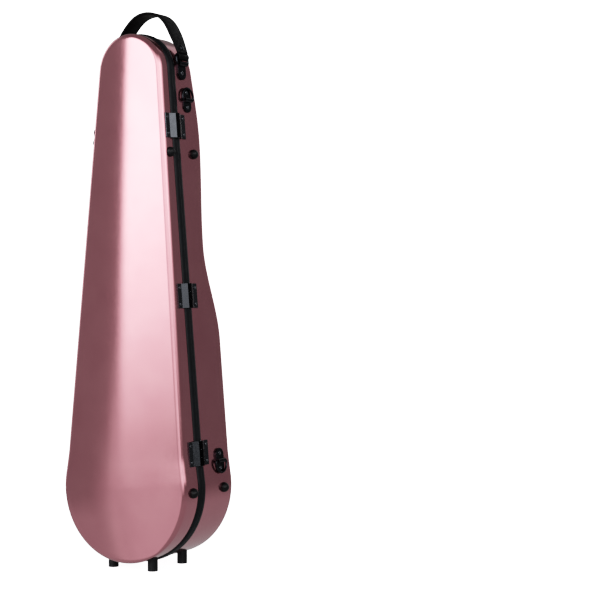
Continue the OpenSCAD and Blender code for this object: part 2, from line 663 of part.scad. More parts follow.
// Which way each ring lies along its own X: the hinge side's X points down, the latch side's up
ring_lies = [-1, 1, -1, 1];
module ring_seat(i) {
    side = i < 2 ? 1 : -1;
    if (i % 2 == 0) translate([0, side > 0 ? ring_hinge_upper_y : ring_upper_y, 0])
        on_side(side, ring_upper_z) children();
    else if (side > 0) translate([0, ring_lower_y, 0]) on_side(side, ring_hinge_low_z)
        translate([0, 0, ring_low_lift]) children();
    else translate([0, ring_lower_y, 0]) on_bulb(180 - asin(ring_latch_low_up / bulb_r)) children();
}
ring_sink = 2;
module ring_plate_shape(sink) difference() {
    end = (ring_plate_len - ring_plate_w) / 2;
    union() {
        translate([0, 0, -sink]) linear_extrude(ring_plate_t + sink) {
            square([2 * end, ring_plate_w], center = true);
            for (x = [-end, end]) translate([x, 0]) circle(d = ring_plate_w);
        }
        cross_rod(bridge_out, -bridge_w / 2, bridge_w / 2, 0, ring_axis_h);
        translate([-bridge_out, -bridge_w / 2, ring_plate_t / 2])
            cube([2 * bridge_out, bridge_w, ring_axis_h - ring_plate_t / 2]);
    }
    cross_rod(bridge_in, -ring_plate_w, ring_plate_w, 0, ring_axis_h);
    for (x = [-1, 1]) translate([x * ring_screw_x, 0, -ring_sink - 1])
        cylinder(r = ring_screw_r + seat_gap, h = ring_plate_t + ring_sink + 2);
}
module ring_plate(i) color(hardware_black) in_place() difference() {
    ring_seat(i) ring_plate_shape(i % 2 == 0 ? 0 : ring_sink);
    if (i % 2 == 1) shell_core();
}
ring_corner = 2.4;
module strap_ring(i) color(hardware_black) in_place() ring_seat(i) translate([0, 0, ring_axis_h])
    mirror([ring_lies[i] > 0 ? 0 : 1, 0, 0]) {
        cross_rod(ring_wire_r, ring_corner - ring_bow_r, ring_bow_r - ring_corner, 0, 0);
        for (y = [-1, 1]) {
            wall_rod(ring_wire_r, ring_corner, ring_leg, y * ring_bow_r, 0);
            translate([ring_corner, y * (ring_bow_r - ring_corner), 0]) rotate([0, 0, y > 0 ? 90 : 180])
                wire_bend(ring_corner, ring_wire_r, 90);
        }
        translate([ring_leg, 0, 0]) rotate([0, 0, -90]) wire_bend(ring_bow_r, ring_wire_r, 180);
    }
module ring_plate_screws() color(hardware_black) in_place() for (i = [0:3], x = [-1, 1]) ring_seat(i)
    translate([x * ring_screw_x, 0, 0]) screw(ring_head_r, ring_screw_r, ring_plate_t);

// Top strap: tabs on the upper end hold square loops, and the leather strap is folded round them

tab_up = 14;
tab_screw_r = 1.6;
tab_head_r = 3.4;
tab_sink = 3;
loop_clear = 0.3;
sleeve_in = loop_r + loop_clear;
tab_sleeve_out = sleeve_in + 1.6;
strap_sleeve_out = sleeve_in + strap_t * 0.75;
loop_h = tab_sleeve_out + strap_sleeve_out + 1.2;
loop_w = strap_end_w + 2 * loop_r + 0.4;
loop_out = tab_sleeve_out + 0.2;
strap_sleeve_w = strap_end_w - 1;
// Seats of the tabs as [x, z, angle]: the hinge side's on the straight wall, the latch side's on the round end
tab_seat = [
    [side_x(top_z - tab_hinge_drop), top_z - tab_hinge_drop, lean],
    [top_r * cos(tab_angle), top_z + top_r * sin(tab_angle), tab_angle]];
// Centre of a loop's upper bar in the plane of the strap, as [distance from the middle, height]
function strap_end(k) = let (a = tab_seat[k][2], up = tab_up + loop_h)
    [tab_seat[k][0] + loop_out * cos(a) - up * sin(a), tab_seat[k][1] + loop_out * sin(a) + up * cos(a)];
// seat() on the hinge side has X pointing down, so a tab is drawn towards -X and mirrored for the latch side
module each_tab() for (k = [0, 1]) mirror([k, 0, 0])
    translate([0, strap_y, 0]) seat(tab_seat[k][0], tab_seat[k][1], tab_seat[k][2]) children();
module strap_tabs() color(hardware_black) in_place() difference() {
    each_tab() difference() {
        union() {
            translate([0, 0, -tab_sink]) linear_extrude(tab_sink + tab_t) {
                translate([-tab_up, -tab_w / 2]) square([tab_up, tab_w]);
                circle(d = tab_w);
            }
            cross_rod(tab_sleeve_out, -tab_w / 2, tab_w / 2, -tab_up, loop_out);
        }
        cross_rod(sleeve_in, -tab_w, tab_w, -tab_up, loop_out);
        translate([0, 0, -tab_sink]) cylinder(r = tab_screw_r + seat_gap, h = 3 * tab_sink);
    }
    shell_core();
}
module tab_screws() color(steel_grey) in_place() each_tab() screw(tab_head_r, tab_screw_r, tab_t);
loop_corner = 2.6;
module strap_loops() color(hardware_black) in_place() each_tab() translate([-tab_up, 0, loop_out]) {
    half = loop_w / 2;
    for (x = [0, -loop_h]) cross_rod(loop_r, loop_corner - half, half - loop_corner, x, 0);
    for (y = [-1, 1]) {
        wall_rod(loop_r, loop_corner - loop_h, -loop_corner, y * half, 0);
        translate([-loop_corner, y * (half - loop_corner), 0]) rotate([0, 0, y > 0 ? 0 : -90])
            wire_bend(loop_corner, loop_r, 90);
        translate([loop_corner - loop_h, y * (half - loop_corner), 0]) rotate([0, 0, y > 0 ? 90 : 180])
            wire_bend(loop_corner, loop_r, 90);
    }
}
// The strap is an arch from sleeve to sleeve, its legs drawn in and spread again at their feet
strap_steps = 24;
strap_taper_n = 4;
strap_rest = 1.4;
strap_foot_up = strap_sleeve_out - 0.6;
strap_half = (strap_end(0)[0] + strap_end(1)[0]) / 2 + strap_rest;
strap_shift = (strap_end(0)[0] - strap_end(1)[0]) / 2;
strap_foot_z = (strap_end(0)[1] + strap_end(1)[1]) / 2 + strap_foot_up;
strap_tilt = (strap_end(0)[1] - strap_end(1)[1]) / 2;
strap_high = shell_top + strap_rise - strap_foot_z;
// [x, z, direction] at an angle that runs from 180 at the latch side's foot to 0 at the hinge side's
function strap_at(a) = [
    strap_shift + strap_half * cos(a) - strap_pinch * sin(2 * a) - strap_flare * sin(4 * a),
    strap_foot_z + strap_high * sin(a) + strap_tilt * cos(a),
    atan2(strap_tilt * sin(a) - strap_high * cos(a),
        strap_half * sin(a) + 2 * strap_pinch * cos(2 * a) + 4 * strap_flare * cos(4 * a))];
function strap_path() = [for (i = [0:strap_steps]) strap_at(180 - 180 * i / strap_steps)];
function strap_width(i) = ease(strap_end_w, strap_w, min(i, strap_steps - i) / strap_taper_n);
module each_sleeve(r, half) for (k = [0, 1])
    cross_rod(r, -half, half, (k > 0 ? -1 : 1) * strap_end(k)[0], strap_end(k)[1]);
module top_strap() color(leather_black) in_place() translate([0, strap_y, 0]) difference() {
    union() {
        path_sweep(strap_path(), [for (i = [0:strap_steps]) round_section(strap_width(i), strap_t)]);
        each_sleeve(strap_sleeve_out, strap_sleeve_w / 2);
    }
    each_sleeve(sleeve_in, strap_w);
}
strap_rivet_up = 9;
strap_rivet_r = 4.6;
strap_rivet_h = 1.6;
strap_rivet_a = asin(strap_rivet_up / strap_high);
module strap_rivets() color(hardware_black) in_place() for (a = [strap_rivet_a, 180 - strap_rivet_a])
    translate([strap_at(a)[0], strap_y, strap_at(a)[1]]) rotate([0, -strap_at(a)[2], 0])
    translate([0, 0, strap_t / 2 - 0.2]) cap(strap_rivet_r, strap_rivet_h);

// Side handle: two oval plates with ears, pins along the wall, steel lugs and a leather grip

oval_w = 33;
oval_len = 23;
oval_t = 1.8;
lug_w = 9;
lug_gap = 0.4;
handle_ear_t = 2;
lug_r = 4;
oval_screw_y = oval_w / 2 - 5;
oval_screw_r = 1.5;
oval_head_r = 3;
handle_pin_end = lug_w / 2 + lug_gap + handle_ear_t + 0.8;
grip_rivet_r = 5;
grip_rivet_h = 1.8;
module on_handle() on_side(-1, handle_z) translate([0, handle_y, 0]) children();
module handle_plates() color(hardware_black) in_place() on_handle() for (s = [-1, 1])
    translate([s * handle_span / 2, 0, 0]) difference() {
        union() {
            linear_extrude(oval_t) {
                square([oval_len, oval_w - oval_len], center = true);
                for (y = [-1, 1]) translate([0, y * (oval_w - oval_len) / 2]) circle(d = oval_len);
            }
            for (x = [-lug_w / 2 - lug_gap - handle_ear_t, lug_w / 2 + lug_gap]) {
                wall_rod(lug_r, x, x + handle_ear_t, 0, handle_pin_h);
                translate([x, -lug_r, oval_t / 2]) cube([handle_ear_t, 2 * lug_r, handle_pin_h - oval_t / 2]);
            }
        }
        wall_rod(handle_pin_r + handle_clear / 3, -oval_len, oval_len, 0, handle_pin_h);
        for (y = [-1, 1]) translate([0, y * oval_screw_y, -1])
            cylinder(r = oval_screw_r + seat_gap, h = oval_t + 2);
    }
module handle_pins() color(steel_grey) in_place() on_handle() for (s = [-1, 1])
    translate([s * handle_span / 2, 0, 0])
    wall_rod(handle_pin_r, -handle_pin_end, handle_pin_end, 0, handle_pin_h);
module handle_screws() color(steel_grey) in_place() on_handle() for (s = [-1, 1], y = [-1, 1])
    translate([s * handle_span / 2, y * oval_screw_y, 0]) screw(oval_head_r, oval_screw_r, oval_t);
// The grip's path arches between ends that stand clear of the plates
grip_steps = 22;
function grip_h(x) = grip_end_h + grip_arch * (1 - pow(2 * x / grip_len, 2));
function grip_slope(x) = atan2(-8 * grip_arch * x / (grip_len * grip_len), 1);
function grip_path() = [for (i = [0:grip_steps]) let (x = grip_len * (i / grip_steps - 0.5))
    [x, grip_h(x), grip_slope(x)]];
function grip_width(i) = let (u = abs(2 * i / grip_steps - 1)) grip_w * (u > 0.9 ? 1 - 3.4 * (u - 0.9) : 1);
module handle_grip() color(leather_black) in_place() on_handle() difference() {
    path_sweep(grip_path(), [for (i = [0:grip_steps]) round_section(grip_width(i), grip_t)]);
    for (s = [-1, 1]) translate([s * handle_span / 2 - lug_w / 2 - 0.2, -lug_r + 0.8, 0])
        cube([lug_w + 0.4, 2 * lug_r - 1.6, grip_h(handle_span / 2)]);
}
module handle_lugs() color(steel_grey) in_place() on_handle() for (s = [-1, 1])
    translate([s * handle_span / 2, 0, 0]) difference() {
        union() {
            wall_rod(lug_r, -lug_w / 2, lug_w / 2, 0, handle_pin_h);
            translate([-lug_w / 2, -lug_r + 1, handle_pin_h])
                cube([lug_w, 2 * lug_r - 2, grip_h(handle_span / 2) - 0.2 - handle_pin_h]);
        }
        wall_rod(handle_pin_r + handle_clear, -oval_len, oval_len, 0, handle_pin_h);
    }
module handle_rivets() color(steel_grey) in_place() on_handle() for (s = [-1, 1])
    let (x = s * handle_span / 2)
    translate([x, 0, grip_h(x)]) rotate([0, -grip_slope(x), 0])
    translate([0, 0, grip_t / 2 - 0.2]) cap(grip_rivet_r, grip_rivet_h);

// Feet and bumpers

module end_foot(y) difference() {
    for (s = [-1, 1]) translate([s * foot_x, y, 0]) cylinder(r = foot_r, h = ground_gap + foot_x / 2);
    shell_core();
}
module base_end_feet() color(rubber_black) in_place() end_foot(base_foot_y);
module lid_end_feet() color(rubber_black) in_place() end_foot(-lid_foot_y);

side_bumper_drop = 176;
side_bumper_z = shell_top - side_bumper_drop;
low_bumper_angle = -1;
base_bumper_y = 42;
base_low_bumper_y = 58;
lid_bumper_y = 17;
lid_low_bumper_y = 22;
back_bumper_z = shell_top - 107;
back_pair_z = bulb_z + 18;
back_pair_x = 66;
bumper_stem = 2.4;
bumper_stem_r = 2;
module bumper_stem() translate([0, 0, -bumper_stem]) cylinder(r = bumper_stem_r, h = bumper_stem + 1);
module bumper() {
    cap(bumper_r, bumper_h);
    bumper_stem();
}
// A bumper on a round stretch of the wall, set in by 1 and trimmed to it
module low_bumper(y, a) {
    difference() {
        translate([0, y, 0]) on_bulb(a) translate([0, 0, -1]) cap(bumper_r, bumper_h + 1);
        shell_core();
    }
    translate([0, y, 0]) on_bulb(a) bumper_stem();
}
module on_back(x, z) {
    rise = base_crown * (x == 0 ? 1 : 0.6);
    translate([x, base_depth(z) + rise, z]) rotate([-90, 0, 0]) children();
}
module base_bumpers() color(rubber_black) in_place() {
    translate([0, base_bumper_y, 0]) on_side(1, side_bumper_z) bumper();
    low_bumper(base_low_bumper_y, low_bumper_angle);
    on_back(0, back_bumper_z) bumper();
    for (s = [-1, 1]) on_back(s * back_pair_x, back_pair_z) bumper();
}
module lid_bumpers() color(rubber_black) in_place() {
    translate([0, -lid_bumper_y, 0]) on_side(1, side_bumper_z) bumper();
    low_bumper(-lid_low_bumper_y, low_bumper_angle);
}
side_stud_drop = 269;
side_stud_z = shell_top - side_stud_drop;
side_stud_y = 23;
module side_stud() color(hardware_black) in_place()
    translate([0, side_stud_y, 0]) on_side(-1, side_stud_z) bumper();

// Inside

pad_d = wall_t + pad_clear;
violin_up = 6;
head_up = 420;
head_len = 100;
head_w = 84;
neck_lap = 10;
bin_gap = 24;
bin_wall = 12;
violin_low_z = bulb_z + violin_up;
neck_low_z = violin_low_z + bout_spacing;
head_z = violin_low_z + head_up;
bin_low_z = head_z + head_len + bin_gap;
// Outline of the hollow for the body: an arc round each bout, with straight sides at the waist
bout_n = 24;
lower_end = acos(violin_waist_w / 2 / lower_bout_r);
upper_end = acos(violin_waist_w / 2 / upper_bout_r);
function bout(r, z, from, to) = [for (i = [0:bout_n]) let (a = from + (to - from) * i / bout_n)
    [r * cos(a), z + r * sin(a)]];
function body_outline() = concat(
    bout(lower_bout_r, violin_low_z, lower_end, -180 - lower_end),
    bout(upper_bout_r, neck_low_z, 180 + upper_end, -upper_end)
);
// The block is drawn this much too high and cut flat
face_trim = 1;
module base_cushion() color(plush_grey) in_place() difference() {
    filled_dish(1, pad_d, pad_drop - face_trim);
    across_case(pad_drop - 2 * face_trim, pad_drop) polygon(outline_at(0));
    across_case(pad_drop - face_trim, pad_drop + body_hollow) polygon(body_outline());
    across_case(pad_drop - face_trim, pad_drop + neck_hollow) {
        translate([-neck_w / 2, neck_low_z]) square([neck_w, head_z - neck_low_z + neck_lap]);
        translate([-head_w / 2, head_z]) square([head_w, head_len]);
    }
    across_case(pad_drop - face_trim, pad_drop + neck_hollow) intersection() {
        polygon(outline_at(pad_d + bin_wall));
        translate([-bulb_r, bin_low_z]) square([2 * bulb_r, shell_top]);
    }
}
module lid_lining() color(plush_grey) in_place() dish(-1, pad_d, pad_d + lining_t, pad_drop);
neck_strap_w = 25;
neck_strap_t = 2.4;
neck_strap_reach = neck_w / 2 + 15;
neck_strap_down = 40;
neck_strap_z = head_z - neck_strap_down;
module neck_strap() color(leather_black) in_place()
    translate([-neck_strap_reach, pad_drop - pad_clear - neck_strap_t, neck_strap_z])
    cube([2 * neck_strap_reach, neck_strap_t, neck_strap_w]);
spinner_len = 62;
spinner_w = 13;
spinner_t = 7;
spinner_pin_r = 3;
spinner_gap = 0.4;
spinner_clear = 0.15;
spinner_boss_r = 9;
spinner_boss_sink = 2;
spinner_head_r = 5;
spinner_head_h = 1.6;
spinner_low_up = 48;
function spinner_z(i) = bulb_z + spinner_low_up + i * spinner_spacing;
function lining_y(z) = -spine_y(-1, pad_d + lining_t, z);
module on_lining(z) translate([0, lining_y(z), z]) rotate([-90, 0, 0]) children();
spinner_lift = 2;
module bow_spinner(i) color(hardware_black) in_place() on_lining(spinner_z(i))
    translate([0, 0, spinner_lift + spinner_gap]) difference() {
        linear_extrude(spinner_t) {
            square([spinner_len - spinner_w, spinner_w], center = true);
            for (x = [-1, 1]) translate([x * (spinner_len - spinner_w) / 2, 0]) circle(d = spinner_w);
        }
        translate([0, 0, -1]) cylinder(r = spinner_pin_r + spinner_clear, h = spinner_t + 2);
    }
module spinner_pins() color(steel_grey) in_place() for (i = [0, 1]) on_lining(spinner_z(i)) {
    pin_top = spinner_lift + 2 * spinner_gap + spinner_t;
    translate([0, 0, -spinner_boss_sink]) cylinder(r = spinner_boss_r, h = spinner_boss_sink + spinner_lift);
    cylinder(r = spinner_pin_r, h = pin_top);
    translate([0, 0, pin_top]) cap(spinner_head_r, spinner_head_h);
}

base_shell();
lid_shell();
base_rim();
lid_rim();
hinge_base_leaf(0);  // hinge_base_leaf_upper
hinge_base_leaf(1);  // hinge_base_leaf_middle
hinge_base_leaf(2);  // hinge_base_leaf_lower
hinge_lid_leaf(0);  // hinge_lid_leaf_upper
hinge_lid_leaf(1);  // hinge_lid_leaf_middle
hinge_lid_leaf(2);  // hinge_lid_leaf_lower
hinge_pins();
hinge_base_screws();
hinge_lid_screws();
latch_plate(0);  // latch_plate_upper
latch_plate(1);  // latch_plate_lower
latch_plate(2);  // latch_plate_end
latch_lever(0);  // latch_lever_upper
latch_lever(1);  // latch_lever_lower
latch_lever(2);  // latch_lever_end
latch_bail(0);  // latch_bail_upper
latch_bail(1);  // latch_bail_lower
latch_bail(2);  // latch_bail_end
latch_keeper(0);  // latch_keeper_upper
latch_keeper(1);  // latch_keeper_lower
latch_keeper(2);  // latch_keeper_end
latch_pins();
latch_rivets();
keeper_screws();
ring_plate(0);  // ring_plate_hinge_upper
ring_plate(1);  // ring_plate_hinge_lower
ring_plate(2);  // ring_plate_latch_upper
ring_plate(3);  // ring_plate_latch_lower
strap_ring(0);  // strap_ring_hinge_upper
strap_ring(1);  // strap_ring_hinge_lower
strap_ring(2);  // strap_ring_latch_upper
strap_ring(3);  // strap_ring_latch_lower
ring_plate_screws();
strap_tabs();
strap_loops();
top_strap();
strap_rivets();
tab_screws();
handle_plates();
handle_pins();
handle_lugs();
handle_grip();
handle_rivets();
handle_screws();
base_end_feet();
lid_end_feet();
base_bumpers();
lid_bumpers();
side_stud();
base_cushion();
lid_lining();
neck_strap();
bow_spinner(1);  // bow_spinner_upper
bow_spinner(0);  // bow_spinner_lower
spinner_pins();
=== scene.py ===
import bmesh
import bpy
import numpy as np
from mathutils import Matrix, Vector


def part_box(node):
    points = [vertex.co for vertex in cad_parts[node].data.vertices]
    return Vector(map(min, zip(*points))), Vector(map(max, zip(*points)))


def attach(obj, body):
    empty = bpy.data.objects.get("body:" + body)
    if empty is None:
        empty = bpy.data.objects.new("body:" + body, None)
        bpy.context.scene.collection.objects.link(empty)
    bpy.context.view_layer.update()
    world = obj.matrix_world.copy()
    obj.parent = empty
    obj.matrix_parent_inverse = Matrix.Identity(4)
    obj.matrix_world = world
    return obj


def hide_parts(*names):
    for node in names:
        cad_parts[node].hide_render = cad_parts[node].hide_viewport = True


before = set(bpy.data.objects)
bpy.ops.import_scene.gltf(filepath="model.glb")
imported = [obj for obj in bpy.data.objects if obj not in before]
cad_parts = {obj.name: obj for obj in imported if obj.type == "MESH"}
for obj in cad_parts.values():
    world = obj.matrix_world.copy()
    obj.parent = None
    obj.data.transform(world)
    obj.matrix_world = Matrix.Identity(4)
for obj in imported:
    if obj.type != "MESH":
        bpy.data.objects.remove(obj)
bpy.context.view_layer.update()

# All shapes are worked out in mm in the case's own frame: x across, y through it with the
# parting plane at 0 (lid at -y), z up along it. placed() moves them into the shared frame.
mm = 0.001
rimLow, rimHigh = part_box("base_rim")
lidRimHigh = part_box("lid_rim")[1]
offset = np.array([(rimLow.x + rimHigh.x) / 2, (rimLow.y + lidRimHigh.y) / 2, 0.0])


def placed(points):
    return np.asarray(points, float) * mm + offset


# Meshes


def gridFaces(rows, cols, closedRows=False, closedCols=False):
    # quads between neighbours of a rows x cols grid, wrapped round where it is closed
    r = np.arange(rows if closedRows else rows - 1)[:, None]
    c = np.arange(cols if closedCols else cols - 1)[None, :]
    r2, c2 = (r + 1) % rows, (c + 1) % cols
    return np.stack([r * cols + c, r * cols + c2, r2 * cols + c2, r2 * cols + c], -1).reshape(-1, 4)


def joined(parts):
    # several (points, faces) pairs as one, with the face numbers moved on
    points, faces, count = [], [], 0
    for p, f in parts:
        p = np.asarray(p, float).reshape(-1, 3)
        points.append(p)
        faces.append(np.asarray(f) + count)
        count += len(p)
    return np.concatenate(points), np.concatenate(faces)


weldGap = 0.001 * mm  # points nearer than this are one: poles, seams and caps


def makePiece(name, points, faces, material, body, replaces=(), slot=None):
    # one smooth mesh object at the origin, closed, its faces turned outwards, riding on a body
    mesh = bpy.data.meshes.new(name)
    mesh.from_pydata(placed(points).reshape(-1, 3), [], np.asarray(faces).tolist())
    work = bmesh.new()
    work.from_mesh(mesh)
    bmesh.ops.remove_doubles(work, verts=work.verts, dist=weldGap)
    bmesh.ops.recalc_face_normals(work, faces=work.faces)
    work.to_mesh(mesh)
    work.free()
    mesh.polygons.foreach_set("use_smooth", np.full(len(mesh.polygons), True))
    mesh.materials.append(material)
    piece = bpy.data.objects.new(name, mesh)
    bpy.context.scene.collection.objects.link(piece)
    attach(piece, body)
    if replaces:
        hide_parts(*replaces)
    return piece


# Materials


def linear(hexColour):
    # sRGB hex to linear light
    c = np.array([int(hexColour[i:i + 2], 16) for i in (1, 3, 5)]) / 255
    return (*np.where(c <= 0.04045, c / 12.92, ((c + 0.055) / 1.055) ** 2.4), 1.0)


def addNode(tree, kind, to=None, **settings):
    # a node with its settings and links: a socket is linked, a value goes on the input ("_3" is input 3) or
    # on the node itself; its first output in use is linked on to the socket given
    made = tree.nodes.new(kind)
    for key, value in settings.items():
        name = int(key[1:]) if key[0] == "_" else key.replace("_", " ")
        if isinstance(name, str) and hasattr(made, key) and key not in made.inputs:
            setattr(made, key, value)
        elif isinstance(value, bpy.types.NodeSocket):
            tree.links.new(value, made.inputs[name])
        else:
            made.inputs[name].default_value = value
    if to is not None:
        tree.links.new(next(out for out in made.outputs if out.enabled), to)
    return made


def newMaterial(name, **sockets):
    # a Principled material, its tree, its inputs and the object's coordinates; the sockets given are the same
    # all over the surface
    material = bpy.data.materials.new(name)
    material.use_nodes = True
    tree = material.node_tree
    inputs = tree.nodes["Principled BSDF"].inputs
    for key, value in sockets.items():
        inputs[key.replace("_", " ")].default_value = value
    return material, tree, inputs, addNode(tree, "ShaderNodeTexCoord").outputs["Object"]


def perMm(size):
    return 1 / (size * mm)  # texture scale for a feature of that many mm


noiseSpan = (0.3, 0.7)  # nearly all of the noise lies between these


def varied(tree, coords, size, low, high, detail=2.0):
    # noise of that feature size, spread between two values
    noise = addNode(tree, "ShaderNodeTexNoise", Vector=coords, Scale=perMm(size), Detail=detail)
    return addNode(tree, "ShaderNodeMapRange", Value=noise.outputs["Fac"], From_Min=noiseSpan[0],
                   From_Max=noiseSpan[1], To_Min=low, To_Max=high).outputs["Result"]


def blended(tree, inputs, low, high, share):
    # base colour between two hex colours
    addNode(tree, "ShaderNodeMix", inputs["Base Color"], data_type="RGBA", _6=linear(low), _7=linear(high),
            _0=share)


def grained(tree, inputs, coords, size, strength, deep, detail=3.0):
    # fine noise as a bump of that many mm
    noise = addNode(tree, "ShaderNodeTexNoise", Vector=coords, Scale=perMm(size), Detail=detail)
    addNode(tree, "ShaderNodeBump", inputs["Normal"], Height=noise.outputs["Fac"], Strength=strength,
            Distance=deep * mm)


paint = {"pale": "#cf98a0", "deep": "#c9919a", "flake": 0.7, "cloud": 60.0}


def pinkLacquer():
    # metallic lacquer sprayed over moulded glass fibre: a satin shine, tinted by the flakes,
    # under a clear coat that lays a whiter gleam on top. Flakes are drawn coarser than real.
    material, tree, inputs, coords = newMaterial(
        "satin_metallic_lacquer", Metallic=0.92, Coat_Weight=0.5, Coat_Roughness=0.13, Coat_IOR=1.5)
    blended(tree, inputs, paint["pale"], paint["deep"], varied(tree, coords, paint["cloud"], 0, 1))
    tree.links.new(varied(tree, coords, 5.0, 0.125, 0.15), inputs["Roughness"])
    flake = addNode(tree, "ShaderNodeTexVoronoi", Vector=coords, Scale=perMm(paint["flake"]))
    addNode(tree, "ShaderNodeBump", inputs["Normal"], Height=flake.outputs["Distance"], Strength=0.08,
            Distance=0.02 * mm)
    return material


def mouldedRubber(name, low, high, grain):
    # extruded or moulded black rubber: dull, a little blue in the light, with a fine grain
    material, tree, inputs, coords = newMaterial(name, Specular_IOR_Level=0.5)
    blended(tree, inputs, low, high, varied(tree, coords, 18.0, 0, 1))
    tree.links.new(varied(tree, coords, 6.0, 0.4, 0.5), inputs["Roughness"])
    grained(tree, inputs, coords, grain, 0.25, 0.06)
    return material


def platedSteel(name, low, high, smooth, rough, edge):
    # pressed steel under thin plating: a mirror as dark as the plating, with softened edges
    material, tree, inputs, coords = newMaterial(name, Metallic=1.0)
    blended(tree, inputs, low, high, varied(tree, coords, 7.0, 0, 1))
    tree.links.new(varied(tree, coords, 2.5, smooth, rough), inputs["Roughness"])
    addNode(tree, "ShaderNodeBevel", inputs["Normal"], samples=6, Radius=edge * mm)
    return material


# band of painted shade on the hinge knuckles
knuckleShade = {"middle": -1.8, "half": 3.0, "fade": 0.8}  # mm through the case, from the parting plane


def knuckleShadedSteel():
    # the hinges' black plating, with painted shade on the knuckles: a near-black band that takes their shine
    # away
    material, tree, inputs, coords = newMaterial("black_steel_painted_knuckle_shade", Metallic=1.0)
    through = addNode(tree, "ShaderNodeSeparateXYZ", Vector=coords).outputs["Y"]
    shadeDistance = addNode(tree, "ShaderNodeMath", operation="SUBTRACT", _0=through,
                   _1=offset[1] + knuckleShade["middle"] * mm)
    shadeDistance = addNode(tree, "ShaderNodeMath", operation="ABSOLUTE", _0=shadeDistance.outputs[0])
    unshaded = addNode(tree, "ShaderNodeMapRange", Value=shadeDistance.outputs[0], From_Min=knuckleShade["half"] * mm,
                    From_Max=(knuckleShade["half"] + knuckleShade["fade"]) * mm)
    # painted shade: near black within the band, the plating's own dark grey outside it
    blended(tree, inputs, "#121214", "#5c5e62", unshaded.outputs[0])
    tree.links.new(varied(tree, coords, 3.0, 0.22, 0.3), inputs["Roughness"])
    addNode(tree, "ShaderNodeBevel", inputs["Normal"], samples=6, Radius=0.4 * mm)
    return material


def grainedLeather(name, low, high, cell):
    # finished black cowhide: small raised cells parted by creases, painted darker in the creases as painted
    # shade, waxed to a soft shine
    material, tree, inputs, coords = newMaterial(name, Specular_IOR_Level=0.3)
    wander = addNode(tree, "ShaderNodeTexNoise", Vector=coords, Scale=perMm(cell * 4), Detail=2.0)
    bent = addNode(tree, "ShaderNodeMix", data_type="VECTOR", _0=0.6 * mm, _4=coords,
                   _5=wander.outputs["Color"])
    cells = addNode(tree, "ShaderNodeTexVoronoi", Vector=bent.outputs[1], Scale=perMm(cell),
                    feature="DISTANCE_TO_EDGE")
    creaseAndShade = addNode(tree, "ShaderNodeMapRange", Value=cells.outputs["Distance"],
                     From_Max=0.18).outputs["Result"]
    # painted shade: the colour darkens into the creases
    blended(tree, inputs, low, high, creaseAndShade)
    tree.links.new(varied(tree, coords, 9.0, 0.42, 0.55), inputs["Roughness"])
    addNode(tree, "ShaderNodeBump", inputs["Normal"], Height=creaseAndShade, Strength=0.5, Distance=0.12 * mm)
    return material


def plush():
    # short-pile velvet: a dark ground that pales where the pile is seen edge on, brushed in patches
    material, tree, inputs, coords = newMaterial(
        "velvet_plush", Roughness=0.95, Sheen_Weight=0.8, Sheen_Roughness=0.35,
        Sheen_Tint=linear("#b9b0bd"), Specular_IOR_Level=0.15)
    blended(tree, inputs, "#3f3a44", "#56505b", varied(tree, coords, 26.0, 0, 1, 4.0))
    grained(tree, inputs, coords, 0.9, 0.5, 0.4)
    return material


def mouldedPlastic():
    # injection-moulded black plastic with a fine spark-eroded texture
    material, tree, inputs, coords = newMaterial("moulded_abs_plastic")
    blended(tree, inputs, "#151618", "#1f2023", varied(tree, coords, 10.0, 0, 1))
    tree.links.new(varied(tree, coords, 2.0, 0.35, 0.5), inputs["Roughness"])
    grained(tree, inputs, coords, 0.5, 0.3, 0.05, 2.0)
    return material


def waxedThread():
    # twisted polyester thread, waxed: fine slanting strands
    material, tree, inputs, coords = newMaterial("waxed_thread", Roughness=0.5)
    strands = addNode(tree, "ShaderNodeTexWave", Vector=coords, Scale=perMm(4.0), bands_direction="DIAGONAL")
    blended(tree, inputs, "#0d0d0e", "#2a2a2d", strands.outputs["Fac"])
    return material


lacquer = pinkLacquer()
rimRubber = mouldedRubber("extruded_rubber", "#101317", "#171b20", 0.8)
footRubber = mouldedRubber("moulded_rubber", "#121315", "#1b1c1f", 1.1)
blackSteel = platedSteel("black_plated_steel", "#3a3c40", "#47494d", 0.22, 0.32, 0.45)
hingeSteel = knuckleShadedSteel()
darkNickel = platedSteel("dark_nickel", "#5f6165", "#707276", 0.1, 0.15, 0.2)  # gives the heads small glints
bareSteel = platedSteel("bare_steel", "#54565a", "#66686c", 0.28, 0.36, 0.35)
zinc = platedSteel("zinc_plated_steel", "#7d8086", "#a2a5aa", 0.26, 0.38, 0.35)
strapLeather = grainedLeather("strap_leather", "#08080a", "#131315", 1.1)
gripLeather = grainedLeather("grip_leather", "#0b0b0c", "#18181a", 1.4)
velvet = plush()
plastic = mouldedPlastic()
thread = waxedThread()
print("materials made")

# Outline of the case and the skins of its shells

case = {
    "bulbR": 111.0, "topR": 57.0, "endSpacing": 612.0, "bulge": 2.3, "blendR": 40.0, "groundGap": 11.0,
    "hollow": 6.0, "hollowRun": 50.0, "wall": 2.8, "lidFillet": 9.0, "baseFillet": 10.0, "baseCrown": 3.0,
    "lidDepth": (47.0, 28.0), "lidCrown": (11.0, 4.0),  # at the lower and the upper end
    "baseDepth": {"low": 86.0, "waist": 59.0, "shoulder": 69.0, "top": 54.0},
    "shoulderDrop": 151.0, "waistDrop": 313.0, "bellyDrop": 451.0,
    "ring": (28, 110, 48), "rows": (7, 10, 14),  # steps round the outline, and up the wall, edge and crown
}
bulbR, topR = case["bulbR"], case["topR"]
bulbZ = case["groundGap"] + bulbR
topZ = bulbZ + case["endSpacing"]
shellTop = topZ + topR
sideD = bulbR - case["bulge"]
lean = np.arcsin((sideD - topR) / case["endSpacing"])
sideTopZ = topZ + topR * np.sin(lean)
tangentZ = bulbZ + sideD * np.sin(lean)
